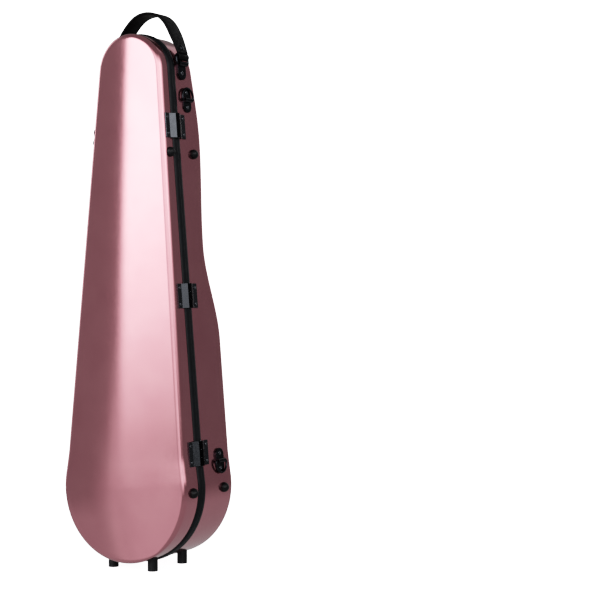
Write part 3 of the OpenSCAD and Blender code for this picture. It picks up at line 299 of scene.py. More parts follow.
# lower end of the straight side, where a blend of that radius leads into the bulb
blendRun = np.sqrt(2 * (bulbR + case["blendR"]) * case["bulge"] - case["bulge"] ** 2)
sideLowZ = tangentZ + blendRun * np.cos(lean)


def sideX(z):
    # half width between the straight sides, which lean in towards the upper end
    return (sideD + (bulbZ - z) * np.sin(lean)) / np.cos(lean)


def ease(a, b, t):
    # from a to b by 3t^2 - 2t^3
    t = np.clip(t, 0, 1)
    return a + (b - a) * t * t * (3 - 2 * t)


def along(ends, z):
    # straight from the lower end's value to the upper end's
    return ends[0] + (ends[1] - ends[0]) * (z - case["groundGap"]) / (shellTop - case["groundGap"])


def baseDepth(z):
    # eased from the belly to the waist, out to the shoulder and in to the upper end
    depth = case["baseDepth"]
    shoulder, waist, belly = (shellTop - case[k] for k in ("shoulderDrop", "waistDrop", "bellyDrop"))
    lower = ease(depth["low"], depth["waist"], (z - belly) / (waist - belly))
    middle = ease(depth["waist"], depth["shoulder"], (z - waist) / (shoulder - waist))
    upper = ease(depth["shoulder"], depth["top"], (z - shoulder) / (shellTop - shoulder))
    return np.where(z > shoulder, upper, np.where(z > waist, middle, lower))


def shellDepth(side, z):
    # from the parting plane to the foot of the crown; side is 1 for the base and -1 for the lid
    return baseDepth(z) if side > 0 else along(case["lidDepth"], z)


def shellCrown(side, z):
    # from the foot of the crown to the spine
    return case["baseCrown"] + 0 * z if side > 0 else along(case["lidCrown"], z)


def outline(topN, sideN, bulbN):
    # [x, z, angle of the outward normal]: top arc, the side as the larger of the straight line and the bulb's
    # circle with a soft hollow between them, lower arc, mirrored
    a = np.linspace(np.pi / 2, lean, topN + 1)
    top = np.stack([topR * np.cos(a), topZ + topR * np.sin(a), a], 1)
    z = np.linspace(sideTopZ, bulbZ, sideN + 1)[1:]
    line = np.where(z > tangentZ, sideX(z), np.sqrt(np.maximum(sideD ** 2 - (z - bulbZ) ** 2, 0)))
    arc = np.sqrt(np.maximum(bulbR ** 2 - (z - bulbZ) ** 2, 0))
    soft = ease(1e-3, case["hollow"], (z - bulbZ) / case["hollowRun"])
    x = np.maximum(line, arc) + soft / 4 * np.clip(1 - np.abs(line - arc) / soft, 0, 1) ** 2
    side = np.stack([x, z, np.arctan(-np.gradient(x, z))], 1)
    a = np.linspace(0, -np.pi / 2, bulbN + 1)[1:]
    bulb = np.stack([bulbR * np.cos(a), bulbZ + bulbR * np.sin(a), a], 1)
    half = np.concatenate([top, side, bulb])
    half[[0, -1], 0] = 0
    back = half[-2:0:-1] * (-1, 1, -1) + (0, 0, np.pi)
    return np.concatenate([half, back])


def spineHeight(ring):
    # where each outline point's normal meets the spine, the line between the two end centres
    x, z, a = ring.T
    up = np.where(z > bulbZ, z - x * np.tan(a), bulbZ)
    return np.clip(np.where(z >= sideTopZ - 1e-6, topZ, up), bulbZ, topZ)


def shellSkin(side, inset, edgeY, ring, wallN, filletN, crownN):
    # rows from the open edge along the wall, round the edge and up to the spine by a parabola. Round its
    # upper end the lid's edge lifts, so its crown runs straight on. The edge's turn is solved so that there
    # is no crease.
    x, z, a = ring.T
    inward = np.stack([-np.cos(a), -np.sin(a)])
    r = max(case["baseFillet" if side > 0 else "lidFillet"] - inset, 1.0)
    upper = (side < 0) * (z > sideTopZ)
    crown = shellCrown(side, z)
    depth = shellDepth(side, z) + upper * crown * (1 - (np.cos(a) / np.cos(lean)) ** 2) - inset
    spineZ = spineHeight(ring)
    spineY = shellDepth(side, spineZ) + shellCrown(side, spineZ) - inset
    slope = upper * (spineY + inset - shellDepth(side, z) - crown)

    def edge(turn):
        d = inset + r * (1 - np.cos(turn))
        return np.stack([x + d * inward[0], depth - r + r * np.sin(turn), z + d * inward[1]], -1)

    turn = np.full_like(x, np.radians(80))  # first guess, close after four rounds
    for _ in range(4):
        e = edge(turn)
        run = np.hypot(e[:, 0], e[:, 2] - spineZ)
        turn = np.pi / 2 - np.arctan((2 * (spineY - e[:, 1]) - slope) / run)
    wall = np.linspace(0, 1, wallN + 1)[:-1, None] ** 1.6  # closer together at the open edge
    start = np.stack([x + inset * inward[0], np.full_like(x, edgeY), z + inset * inward[1]], -1)
    rows = [start + t * (edge(0 * turn) - start) for t in wall]
    rows += [edge(turn * t) for t in np.linspace(0, 1, filletN + 1)]
    e = rows[-1]
    spine = np.stack([0 * x, spineY, spineZ], -1)
    for f in np.linspace(0, 1, crownN + 1)[1:]:
        row = e + (spine - e) * (f, 1 - (1 - f) ** 2, f)
        row[:, 1] -= slope * (f - f * f)
        rows.append(row)
    return np.array(rows) * (1, side, 1)


def dish(side, outer, inner, edgeY, ring, counts, roundEdge=0, lipRows=7):
    # outer skin, edge and inner skin as one closed sheet, from spine to spine; the edge is flat or half round
    start = edgeY + roundEdge
    out = shellSkin(side, outer, start, ring, *counts)
    within = shellSkin(side, inner, start, ring, *counts)
    rows = [out[::-1]]
    if roundEdge:
        t = np.linspace(0, np.pi, lipRows + 2)[1:-1, None, None]
        middle, half = (out[0] + within[0]) / 2, (out[0] - within[0]) / 2
        lip = middle + half * np.cos(t)
        lip[..., 1] -= side * roundEdge * np.sin(t[..., 0])
        rows.append(lip)
    rows = np.concatenate(rows + [within])
    return rows, gridFaces(len(rows), len(ring), closedCols=True)


rim = {"width": 8.8, "deep": 7.5, "proud": 2.2, "web": 2.0, "lip": 1.2, "gap": 0.3, "edge": 0.25, "full": 2.2,
       "ring": (40, 120, 64), "arch": 15}
shellEdge = rim["web"] + rim["gap"] / 2
for name, side, body in (("baseShell", 1, "base"), ("lidShell", -1, "lid")):
    points, faces = dish(side, 0, case["wall"], shellEdge, outline(*case["ring"]), case["rows"])
    makePiece(name, points, faces, lacquer, body, [body + "_shell"], "shell")
print("shells made")


def rimProfile():
    # [out from the wall, away from the parting plane]: a channel whose outer face is a quarter of a
    # superellipse, full at the parting plane and falling to the wall, so the two halves make one soft band
    g, w, p, e = rim["gap"] / 2, rim["width"], rim["proud"], rim["edge"]
    t = np.linspace(0, np.pi / 2, rim["arch"])[1:]
    n = 2 / rim["full"]
    arch = np.stack([p * np.cos(t) ** n, g + e + (w - g - e) * np.sin(t) ** n], 1)
    wall, lip = -case["wall"], -case["wall"] - rim["lip"]
    channel = [[0, shellEdge], [wall, shellEdge], [wall, rim["deep"]], [lip, rim["deep"]], [lip, g]]
    return np.concatenate([[[p - e, g], [p, g + e]], arch, channel])


def sweptRound(profile, ring, side):
    # a closed profile carried round the closed outline
    x, z, a = ring.T
    out, y = profile.T
    rows = np.stack([x + out[:, None] * np.cos(a), np.repeat(side * y[:, None], len(ring), 1),
                     z + out[:, None] * np.sin(a)], -1)
    return rows, gridFaces(len(profile), len(ring), closedRows=True, closedCols=True)


for name, side, body in (("baseRim", 1, "base"), ("lidRim", -1, "lid")):
    points, faces = sweptRound(rimProfile(), outline(*rim["ring"]), side)
    makePiece(name, points, faces, rimRubber, body, [body + "_rim"], "rubber")
print("rims made")

# Seats on the outline: local x along the wall, y through the case, z straight out. They are found by height on
# the straight sides and by degrees on the two ends.


def seat(x, z, angle):
    # a point of the outline and the three axes there, with z at that angle from x across the case
    c, s = np.cos(angle), np.sin(angle)
    return np.array([x, 0.0, z]), np.array([[s, 0, -c], [0, 1, 0], [c, 0, s]])


def onSide(side, z):
    return seat(side * sideX(z), z, lean if side > 0 else np.pi - lean)


def onBulb(degrees):
    a = np.radians(degrees)
    return seat(bulbR * np.cos(a), bulbZ + bulbR * np.sin(a), a)


def onTop(degrees, side):
    a = np.radians(degrees)
    a = a if side > 0 else np.pi - a
    return seat(topR * np.cos(a), topZ + topR * np.sin(a), a)


def atSeat(place, points):
    # local points carried to a seat
    origin, axes = place
    return np.asarray(points, float) @ axes + origin


def sweptAlong(path, turn, section):
    # a closed [across, out] section carried along a path of [a, b] in a plane; the ends are capped
    # by rows that shrink to the middle of the section
    nx, nz = -np.sin(turn), np.cos(turn)
    across, out = section[..., 0], section[..., 1]
    rows = np.stack([path[:, :1] + nx[:, None] * out, across, path[:, 1:] + nz[:, None] * out], -1)
    first = rows[:1].mean(1, keepdims=True).repeat(rows.shape[1], 1)
    last = rows[-1:].mean(1, keepdims=True).repeat(rows.shape[1], 1)
    rows = np.concatenate([first, rows, last])
    return rows, gridFaces(len(rows), rows.shape[1], closedCols=True)


def signedPower(v, n):
    return np.sign(v) * np.abs(v) ** n


def flatSection(width, thick, count=7, power=2.6):
    # a flat strip whose edges are half superellipses, so that they are full but not square
    t = np.linspace(-np.pi / 2, np.pi / 2, count)
    side = signedPower(np.cos(t), 2 / power) * thick / 2
    up = np.sin(t) * thick / 2
    right = np.stack([(width - thick) / 2 + side, up], 1)
    return np.concatenate([right, -right])


# Screws and rivets

screwHead = {"height": 1.3, "dome": 0.9, "slotW": 0.28, "slotL": 0.62, "slotDeep": 0.75,
             "slotEdge": (1.15, 0.3), "firstTurn": 0.7, "nextTurn": 1.1, "sides": 48,
             "rings": (0.0, 0.12, 0.22, 0.3, 0.42, 0.52, 0.62, 0.7, 0.82, 0.92, 1.0)}


def screwShape(radius, height, slotted, turn):
    # a domed head in polar rings: height h(1 - dome (r/R)^2), less a cross that is slotL of the radius
    # long and slotW wide; the last rows go down the rim and close the underside
    r = np.array(screwHead["rings"])[:, None]
    a = np.linspace(0, 2 * np.pi, screwHead["sides"] + 1)[None, :-1]
    x, y = r * np.cos(a), r * np.sin(a)
    z = height * (1 - screwHead["dome"] * r ** 2) + 0 * a
    if slotted:
        u = np.abs(x * np.cos(turn) + y * np.sin(turn))
        v = np.abs(y * np.cos(turn) - x * np.sin(turn))
        arm = np.minimum(np.maximum(u / screwHead["slotL"], v / screwHead["slotW"]),
                         np.maximum(v / screwHead["slotL"], u / screwHead["slotW"]))
        far, soft = screwHead["slotEdge"]
        z = z - screwHead["slotDeep"] * np.clip((far - arm) / soft, 0, 1)
    top = np.stack([x * radius, y * radius, z], -1)
    skirt = top[-1:] * (1, 1, 0)
    foot = skirt * (0, 0, 1)
    rows = np.concatenate([top, skirt, foot])
    return rows.reshape(-1, 3), gridFaces(len(rows), rows.shape[1], closedCols=True)


def screwSet(name, node, body, material, slot, spots, radius, seatedOn,
             height=screwHead["height"], slotted=True):
    # heads at (seat, along, through) spots as one piece, each turned on from the last
    parts = []
    for i, (place, x, y) in enumerate(spots):
        turn = screwHead["firstTurn"] + screwHead["nextTurn"] * i
        points, faces = screwShape(radius, height, slotted, turn)
        parts.append((atSeat(place, points + (x, y, seatedOn)), faces))
    points, faces = joined(parts)
    return makePiece(name, points, faces, material, body, [node], slot)


hinge = {"length": 36.0, "reach": 24.0, "bend": 15.0, "leaf": 1.6, "screwR": 2.5}
hinge["z"] = (654, 405, sideLowZ + hinge["length"] / 2)
hingeSpots = [(onSide(1, z), x * hinge["length"] / 3, (hinge["reach"] + hinge["bend"]) / 2)
              for z in hinge["z"] for x in (-1, 1)]
screwSet("hingeBaseScrews", "hinge_base_screws", "base", darkNickel, "hardware",
         hingeSpots, hinge["screwR"], hinge["leaf"])
screwSet("hingeLidScrews", "hinge_lid_screws", "lid", darkNickel, "hardware",
         [(p, x, -y) for p, x, y in hingeSpots], hinge["screwR"], hinge["leaf"])

latch = {"z": (641, 249), "endAngle": 235, "sheet": 1.5, "screwGap": 15.3, "screwY": 20.8, "screwR": 3.0}
latchSeats = [onSide(-1, z) for z in latch["z"]] + [onBulb(latch["endAngle"])]
screwSet("keeperScrews", "keeper_screws", "lid", blackSteel, "hardware",
         [(p, x * latch["screwGap"] / 2, -latch["screwY"]) for p in latchSeats for x in (-1, 1)],
         latch["screwR"], latch["sheet"])

strapRing = {"upperZ": 695, "upperY": 28.0, "hingeUpperY": 34.0, "hingeLowZ": 160, "latchLowZ": 142,
             "lowerY": 52.0, "lift": case["bulge"] / 2, "plate": 1.6, "screwX": 11.0, "screwR": 3.2}
lowSeat = onSide(1, strapRing["hingeLowZ"])
lowSeat = (lowSeat[0] + lowSeat[1][2] * strapRing["lift"], lowSeat[1])
ringLowAngle = 180 - np.degrees(np.arcsin((strapRing["latchLowZ"] - bulbZ) / bulbR))
ringSeats = [(onSide(1, strapRing["upperZ"]), strapRing["hingeUpperY"]),
             (lowSeat, strapRing["lowerY"]),
             (onSide(-1, strapRing["upperZ"]), strapRing["upperY"]),
             (onBulb(ringLowAngle), strapRing["lowerY"])]
screwSet("ringPlateScrews", "ring_plate_screws", "base", darkNickel, "hardware",
         [(p, x * strapRing["screwX"], y) for p, y in ringSeats for x in (-1, 1)],
         strapRing["screwR"], strapRing["plate"])
print("screws made")

# Top strap: an arch of leather, folded round the two square loops that hang in the tabs

topStrap = {
    "y": 25.0, "width": 32.0, "endWidth": 25.0, "taper": 1 / 6, "thick": 4.0, "steps": 96, "edge": 9,
    "rise": 36.0, "pinch": 7.5, "skew": 2.0, "flare": 2.0, "lean": 9.0, "rest": 1.4, "sunk": 0.6,
    "tabAngle": 10.0, "tabThick": 2.4, "tabUp": 14.0, "tabWall": 1.6, "screwR": 3.4,
    "loopR": 1.8, "loopClear": 0.3, "loopLift": 0.2, "loopGap": 1.2,
    "sleeve": 0.75, "sleeveInset": 0.5, "sleeveBevel": (0.5, 0.6), "sleeveSides": 40,
}
rivet = {"up": 9.0, "radius": 4.6, "height": 1.6, "sunk": 0.2}
tabSeats = [onSide(1, topZ), onTop(topStrap["tabAngle"], -1)]
screwSet("tabScrews", "tab_screws", "base", darkNickel, "steel",
         [(p, 0, topStrap["y"]) for p in tabSeats], topStrap["screwR"], topStrap["tabThick"])

sleeveIn = topStrap["loopR"] + topStrap["loopClear"]
sleeveOut = sleeveIn + topStrap["thick"] * topStrap["sleeve"]
tabSleeve = sleeveIn + topStrap["tabWall"]
loopOut = tabSleeve + topStrap["loopLift"]
loopUp = topStrap["tabUp"] + tabSleeve + sleeveOut + topStrap["loopGap"]
# middle of each loop's upper bar: up the wall from its tab and off it
strapEnds = np.array([p[0] + p[1][2] * loopOut + p[1][0] * up
                      for p, up in zip(tabSeats, (-loopUp, loopUp))])[:, [0, 2]]
footUp = sleeveOut - topStrap["sunk"]
strapFeet = strapEnds + [(topStrap["rest"], footUp), (-topStrap["rest"], footUp)]
strapHigh = shellTop + topStrap["rise"] - strapFeet[:, 1].mean()


def strapCurve(t):
    # an arch from the latch side's foot to the hinge side's: (cos a, sin a) scaled to the feet and the rise,
    # less (pinch - skew cos a) sin 2a + flare sin 4a, which draws the legs in, the latch side's more, and
    # spreads their feet; gives points and direction
    a = np.pi * (1 - t)
    (half, tilt), middle = (strapFeet[0] - strapFeet[1]) / 2, strapFeet.mean(0)
    pinch, flare = topStrap["pinch"] - topStrap["skew"] * np.cos(a), topStrap["flare"]
    x = half * np.cos(a) - pinch * np.sin(2 * a) - flare * np.sin(4 * a)
    z = strapHigh * np.sin(a) + tilt * np.cos(a)
    dx = half * np.sin(a) + 2 * pinch * np.cos(2 * a) + 4 * flare * np.cos(4 * a)
    dx += topStrap["skew"] * np.sin(a) * np.sin(2 * a)
    return middle + np.stack([x, z], 1), np.arctan2(tilt * np.sin(a) - strapHigh * np.cos(a), dx)


def strapShape():
    # the strap as a flat section along its curve, and a bevelled tube of leather round each loop's bar
    t = np.linspace(0, 1, topStrap["steps"] + 1)
    path, turn = strapCurve(t)
    width = ease(topStrap["endWidth"], topStrap["width"], np.minimum(t, 1 - t) / topStrap["taper"])
    section = np.array([flatSection(w, topStrap["thick"], topStrap["edge"]) for w in width])
    rows, faces = sweptAlong(path, turn, section)
    rows[1:-1, :, 1] += topStrap["lean"] * np.sin(np.pi * t[:, None]) ** 2  # it flops a little to the back
    parts = [(rows, faces)]
    a = np.linspace(0, 2 * np.pi, topStrap["sleeveSides"] + 1)[:-1]
    half = topStrap["endWidth"] / 2 - topStrap["sleeveInset"]
    down, back = topStrap["sleeveBevel"]
    profile = [(sleeveIn, -half), (sleeveIn, half), (sleeveOut - down, half), (sleeveOut, half - back),
               (sleeveOut, back - half), (sleeveOut - down, -half)]
    r, y = np.array(profile).T[:, :, None]
    for x, z in strapEnds:
        tube = np.stack([x + r * np.cos(a), y + 0 * a, z + r * np.sin(a)], -1)
        parts.append((tube, gridFaces(len(r), len(a), closedRows=True, closedCols=True)))
    points, faces = joined(parts)
    return points + (0, topStrap["y"], 0), faces


makePiece("topStrap", *strapShape(), strapLeather, "base", ["top_strap"], "leather")
rivetT = np.arcsin(rivet["up"] / strapHigh) / np.pi
path, turn = strapCurve(np.array([rivetT, 1 - rivetT]))
screwSet("strapRivets", "strap_rivets", "base", blackSteel, "hardware",
         [(seat(x, z, a + np.pi / 2), 0, topStrap["y"]) for (x, z), a in zip(path, turn)], rivet["radius"],
         topStrap["thick"] / 2 - rivet["sunk"], rivet["height"], False)
print("top strap made")

# Handle: its plates' screws, and leather drawn round a core and sewn along the middle

handle = {
    "z": 362, "y": 25.0, "span": 150.0, "plate": 1.8, "screwY": 11.5, "screwR": 3.0,
    "length": 176.0, "width": 27.0, "thick": 9.0, "endH": 15.0, "arch": 12.0, "steps": 96, "sides": 48,
    "endRun": 0.1, "endNarrow": 0.34, "taper": 0.05, "fullness": 0.14, "square": (0.7, 0.8),
    "groove": 0.9, "grooveSharp": 6, "seamEnd": 0.8, "seamFade": 0.08,
}
handleSeat = onSide(-1, handle["z"])
screwSet("handleScrews", "handle_screws", "base", zinc, "steel",
         [(handleSeat, s * handle["span"] / 2, handle["y"] + y * handle["screwY"])
          for s in (-1, 1) for y in (-1, 1)], handle["screwR"], handle["plate"])


def gripHeight(x):
    # a parabola off the wall, highest in the middle
    return handle["endH"] + handle["arch"] * (1 - (2 * x / handle["length"]) ** 2)


def gripTilt(x):
    return np.arctan(-8 * handle["arch"] * x / handle["length"] ** 2)  # of the parabola's slope


def gripShape():
    # a rounded box section along the parabola; narrow at the ends, fullest in the middle, with a seam groove
    u = np.linspace(-1, 1, handle["steps"] + 1)
    x = u * handle["length"] / 2
    end = np.clip((np.abs(u) - 1) / handle["endRun"] + 1, 0, 1)
    width = handle["width"] * (1 - handle["endNarrow"] * end ** 2) * (1 - handle["taper"] * u ** 2)
    thick = handle["thick"] * (1 - handle["fullness"] + handle["fullness"] * np.cos(u * np.pi / 2))
    t = np.linspace(0, 2 * np.pi, handle["sides"] + 1)[:-1]
    across, up = signedPower(np.cos(t), handle["square"][0]), signedPower(np.sin(t), handle["square"][1])
    groove = handle["groove"] * np.exp(-(across * handle["grooveSharp"]) ** 2) * (up > 0)
    run = np.clip((handle["seamEnd"] - np.abs(u)) / handle["seamFade"], 0, 1)
    section = np.stack([width[:, None] / 2 * across, thick[:, None] / 2 * up - run[:, None] * groove], -1)
    return sweptAlong(np.stack([x, gripHeight(x)], 1), gripTilt(x), section)


stitch = {"count": 26, "run": 128.0, "wide": 6.0, "thread": 0.55, "hump": 0.45, "over": 0.12, "sunk": 0.35,
          "onThick": 0.97, "steps": 7, "sides": 8, "blunt": 6}


def stitchShape():
    # one stitch of length 1: a short thread with round ends, arched over its two holes
    t = np.linspace(0, 1, stitch["steps"])
    a = np.linspace(0, 2 * np.pi, stitch["sides"] + 1)[:-1]
    r = stitch["thread"] * np.sqrt(np.clip(1 - (2 * t - 1) ** stitch["blunt"], 0, 1))
    middle = np.stack([t - 0.5, 0 * t, stitch["hump"] * np.sin(np.pi * t)], 1)
    ring = np.stack([0 * a, np.cos(a), np.sin(a)], 1)
    return middle[:, None] + r[:, None, None] * ring, gridFaces(len(t), len(a), closedCols=True)


def crossStitches():
    # pairs of stitches that cross over the seam, each pair tilted with the parabola
    rows, faces = stitchShape()
    pitch = stitch["run"] / stitch["count"]
    rows = rows * (np.hypot(pitch, stitch["wide"]), 1, 1)
    parts = []
    for i in range(stitch["count"]):
        x = (i + 0.5) * pitch - stitch["run"] / 2
        tilt = gripTilt(x)
        lift = gripHeight(x) + handle["thick"] / 2 * stitch["onThick"] - stitch["sunk"]
        for s in (-1, 1):
            turn = s * np.arctan2(stitch["wide"], pitch)
            onward = rows[..., 0] * np.cos(turn) - rows[..., 1] * np.sin(turn)
            across = rows[..., 0] * np.sin(turn) + rows[..., 1] * np.cos(turn)
            up = lift + rows[..., 2] + stitch["over"] * s + onward * np.sin(tilt)
            parts.append((np.stack([x + onward * np.cos(tilt), across, up], -1), faces))
    return joined(parts)


def onGrip(shape):
    points, faces = shape
    return atSeat(handleSeat, np.asarray(points).reshape(-1, 3) + (0, handle["y"], 0)), faces


grip = makePiece("handleGrip", *onGrip(gripShape()), gripLeather, "handle", ["handle_grip"], "leather")
makePiece("gripStitches", *onGrip(crossStitches()), thread, "handle", slot="leather")
print("handle made")

# Inside: the fitted cushion, the lining of the lid and the neck strap

inside = {
    "gap": 0.4, "drop": 8.0, "lowerBout": 104.0, "upperBout": 83.0, "waist": 120.0, "bouts": 195.0,
    "violinUp": 6.0, "bodyDeep": 50.0, "neck": 58.0, "neckOver": 10.0, "neckDeep": 32.0, "headUp": 420.0,
    "headLong": 100.0, "headWide": 84.0, "binUp": 24.0, "binWall": 12.0, "soft": 9.0, "puff": 1.6,
    "puffRun": 7.0, "edgeFall": 5.0, "edgeRun": 6.0,
    "ring": (30, 230, 70), "rows": (3, 4, 5), "faceRows": 76, "faceSpread": 1.15,
}
padInset = case["wall"] + inside["gap"]
violinZ = bulbZ + inside["violinUp"]
boutZ = violinZ + inside["bouts"]
headZ = violinZ + inside["headUp"]
binZ = headZ + inside["headLong"] + inside["binUp"]


def boxDistance(x, z, halfW, low, high):
    # how far outside a box, negative within
    dx, dz = np.abs(x) - halfW, np.maximum(low - z, z - high)
    return np.hypot(np.maximum(dx, 0), np.maximum(dz, 0)) + np.minimum(np.maximum(dx, dz), 0)


def hollows(x, z):
    # (distance outside the hollow, depth) for the body, the neck, the head and the bin
    lower = np.hypot(x, z - violinZ) - inside["lowerBout"]
    upper = np.hypot(x, z - boutZ) - inside["upperBout"]
    body = np.minimum(np.minimum(lower, upper), boxDistance(x, z, inside["waist"] / 2, violinZ, boutZ))
    neck = boxDistance(x, z, inside["neck"] / 2, boutZ, headZ + inside["neckOver"])
    head = boxDistance(x, z, inside["headWide"] / 2, headZ, headZ + inside["headLong"])
    toWall = np.where(z > sideTopZ, topR - np.hypot(x, z - topZ), (sideX(z) - np.abs(x)) * np.cos(lean))
    box = np.maximum(padInset + inside["binWall"] - toWall, binZ - z)
    return (body, inside["bodyDeep"]), (np.minimum(neck, head), inside["neckDeep"]), (box, inside["neckDeep"])


def cushionShape():
    # outer skin against the shell, then the face as rings drawn in to the spine; the face sinks into each
    # hollow by an eased wall, and swells a little away from every edge
    ring = outline(*inside["ring"])
    skin = shellSkin(1, padInset, inside["drop"] + inside["edgeFall"], ring, *inside["rows"])
    x, z, a = ring.T
    border = np.stack([x - padInset * np.cos(a), z - padInset * np.sin(a)], -1)
    spine = np.stack([0 * x, spineHeight(ring)], -1)
    f = (np.linspace(0, 1, inside["faceRows"]) ** inside["faceSpread"])[:, None, None]
    flat = border * (1 - f) + spine * f
    px, pz = flat[..., 0], flat[..., 1]
    toEdge = np.linalg.norm(flat - border, axis=-1)
    depth, nearest = 0 * px, toEdge
    for away, deep in hollows(px, pz):
        depth = np.maximum(depth, deep * ease(0, 1, -away / inside["soft"]))
        nearest = np.minimum(nearest, np.maximum(away, 0))
    swell = inside["puff"] * (1 - np.exp(-nearest / inside["puffRun"]))
    fall = inside["edgeFall"] * np.clip(1 - toEdge / inside["edgeRun"], 0, 1) ** 2
    face = np.stack([px, inside["drop"] + depth + fall - swell, pz], -1)
    rows = np.concatenate([skin[::-1], face[1:]])
    return rows, gridFaces(len(rows), len(ring), closedCols=True)


cushion = makePiece("baseCushion", *cushionShape(), velvet, "base", ["base_cushion"], "plush")

liningPad = {"thick": 9.0, "ring": (24, 90, 40), "rows": (6, 6, 10)}
points, faces = dish(-1, padInset, padInset + liningPad["thick"], inside["drop"], outline(*liningPad["ring"]),
                     liningPad["rows"], liningPad["thick"] / 2)
lining = makePiece("lidLining", points, faces, velvet, "lid", ["lid_lining"], "plush")

neckStrap = {"reach": 44.0, "width": 25.0, "thick": 2.4, "down": 40.0, "bow": 0.9, "steps": 40}


def neckStrapShape():
    # a flat strip across the neck hollow, bowed a little towards the lid
    u = np.linspace(-1, 1, neckStrap["steps"] + 1)
    x = u * neckStrap["reach"]
    face = inside["drop"] - inside["gap"] - neckStrap["thick"] / 2
    y = face - neckStrap["bow"] * (1 - u ** 2)
    turn = np.arctan(2 * neckStrap["bow"] * u / neckStrap["reach"])
    rows, faces = sweptAlong(np.stack([x, y], 1), turn, np.repeat(
        flatSection(neckStrap["width"], neckStrap["thick"])[None], len(u), 0))
    middle = headZ - neckStrap["down"] + neckStrap["width"] / 2
    return np.stack([rows[..., 0], rows[..., 2], middle + rows[..., 1]], -1), faces


makePiece("neckStrap", *neckStrapShape(), strapLeather, "base", ["neck_strap"], "leather")
print("inside made")

# Finish of the CAD pieces that stay: the leaves of the hinges carry painted shade on their knuckles, and what
# isn't named is black

finishes = {
    "hinge_pins": zinc, "latch_pins": zinc, "latch_rivets": zinc, "handle_pins": zinc, "handle_lugs": zinc,
    "handle_rivets": zinc, "spinner_pins": zinc, "latch_keeper_upper": bareSteel,
    "base_end_feet": footRubber, "lid_end_feet": footRubber, "base_bumpers": footRubber,
    "lid_bumpers": footRubber, "side_stud": footRubber,
    "bow_spinner_upper": plastic, "bow_spinner_lower": plastic,
}
for name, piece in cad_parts.items():
    piece.data.materials.clear()
    piece.data.materials.append(finishes.get(name, hingeSteel if "_leaf_" in name else blackSteel))
print("hardware finished")

# Floor, studio light and camera

floorLook = {"radius": 2.4, "clear": 0.35, "gone": 1.68, "sides": 96, "glow": 1.4, "colour": "#f4f4f5"}


def makeFloor():
    # a pale disc, in metres, that fades out into the white surroundings
    a = np.linspace(0, 2 * np.pi, floorLook["sides"] + 1)[:-1]
    points = np.stack([np.cos(a), np.sin(a), 0 * a], 1) * floorLook["radius"]
    mesh = bpy.data.meshes.new("floor")
    mesh.from_pydata(points, [], [list(range(len(a)))])
    material, tree, inputs, coords = newMaterial(
        "pale_paper", Roughness=0.9, Specular_IOR_Level=0.0, Base_Color=linear(floorLook["colour"]),
        Emission_Color=linear(floorLook["colour"]), Emission_Strength=floorLook["glow"])
    seen = addNode(tree, "ShaderNodeLightPath").outputs["Is Camera Ray"]
    far = addNode(tree, "ShaderNodeVectorMath", operation="LENGTH", _0=coords)
    fade = addNode(tree, "ShaderNodeMapRange", Value=far.outputs["Value"], From_Min=floorLook["clear"],
                   From_Max=floorLook["gone"], To_Min=1.0, To_Max=0.0, interpolation_type="SMOOTHSTEP")
    addNode(tree, "ShaderNodeMath", inputs["Alpha"], operation="MULTIPLY", _0=fade.outputs["Result"], _1=seen)
    mesh.materials.append(material)
    floor = bpy.data.objects.new("floor", mesh)
    bpy.context.scene.collection.objects.link(floor)


# soft panels round the case, in degrees (0 in front of the lid, 90 on the hinge side): azimuth, half width,
# softness of the sides, the heights between which each brightens, its strength, and how its heights slant
studio = {
    "panels": [
        (-19.7, 17.7, 1.5, -4.5, 7.7, 3.2, 0.097),  # large box before the lid
        (-39.5, 2.2, 1.4, 0, -2, 0.5, 0),  # strip that softens its left side
        (5, 16.0, 3.0, -4.6, 11, 1.56, 0),  # fill between the box and the lid's edge
        (40, 23.0, 5.0, -8, 15, 2.1, 0),  # line on the lid's edge
        (80, 30.0, 35.0, 3, 12.5, 2.6, 0),  # hinges and the shoulder
        (180, 12.0, 6.0, -10, 14, 0.9, 0),  # back
        (-90, 10.0, 3.0, -9, 10, 2.0, 0),  # latch side
        (-10, 33.0, 13.0, -2, -4, 0.54, 0),  # from the floor, before the lid
        (-50, 40.0, 10.0, -6, -14, 0.22, 0),  # from the floor at the left
        (0, 190.0, 5.0, -4, -18, 0.16, 0),  # from the floor all round
        (-64, 27.0, 6.0, -91, -90, 0.08, 0),  # faint wall at the left
    ],
    "ambient": 0.214, "ceiling": 24.0, "ceilingFade": 20.0,  # no panel shines from above the ceiling
    "backdrop": 2.2,  # white behind the case, for the camera alone
}


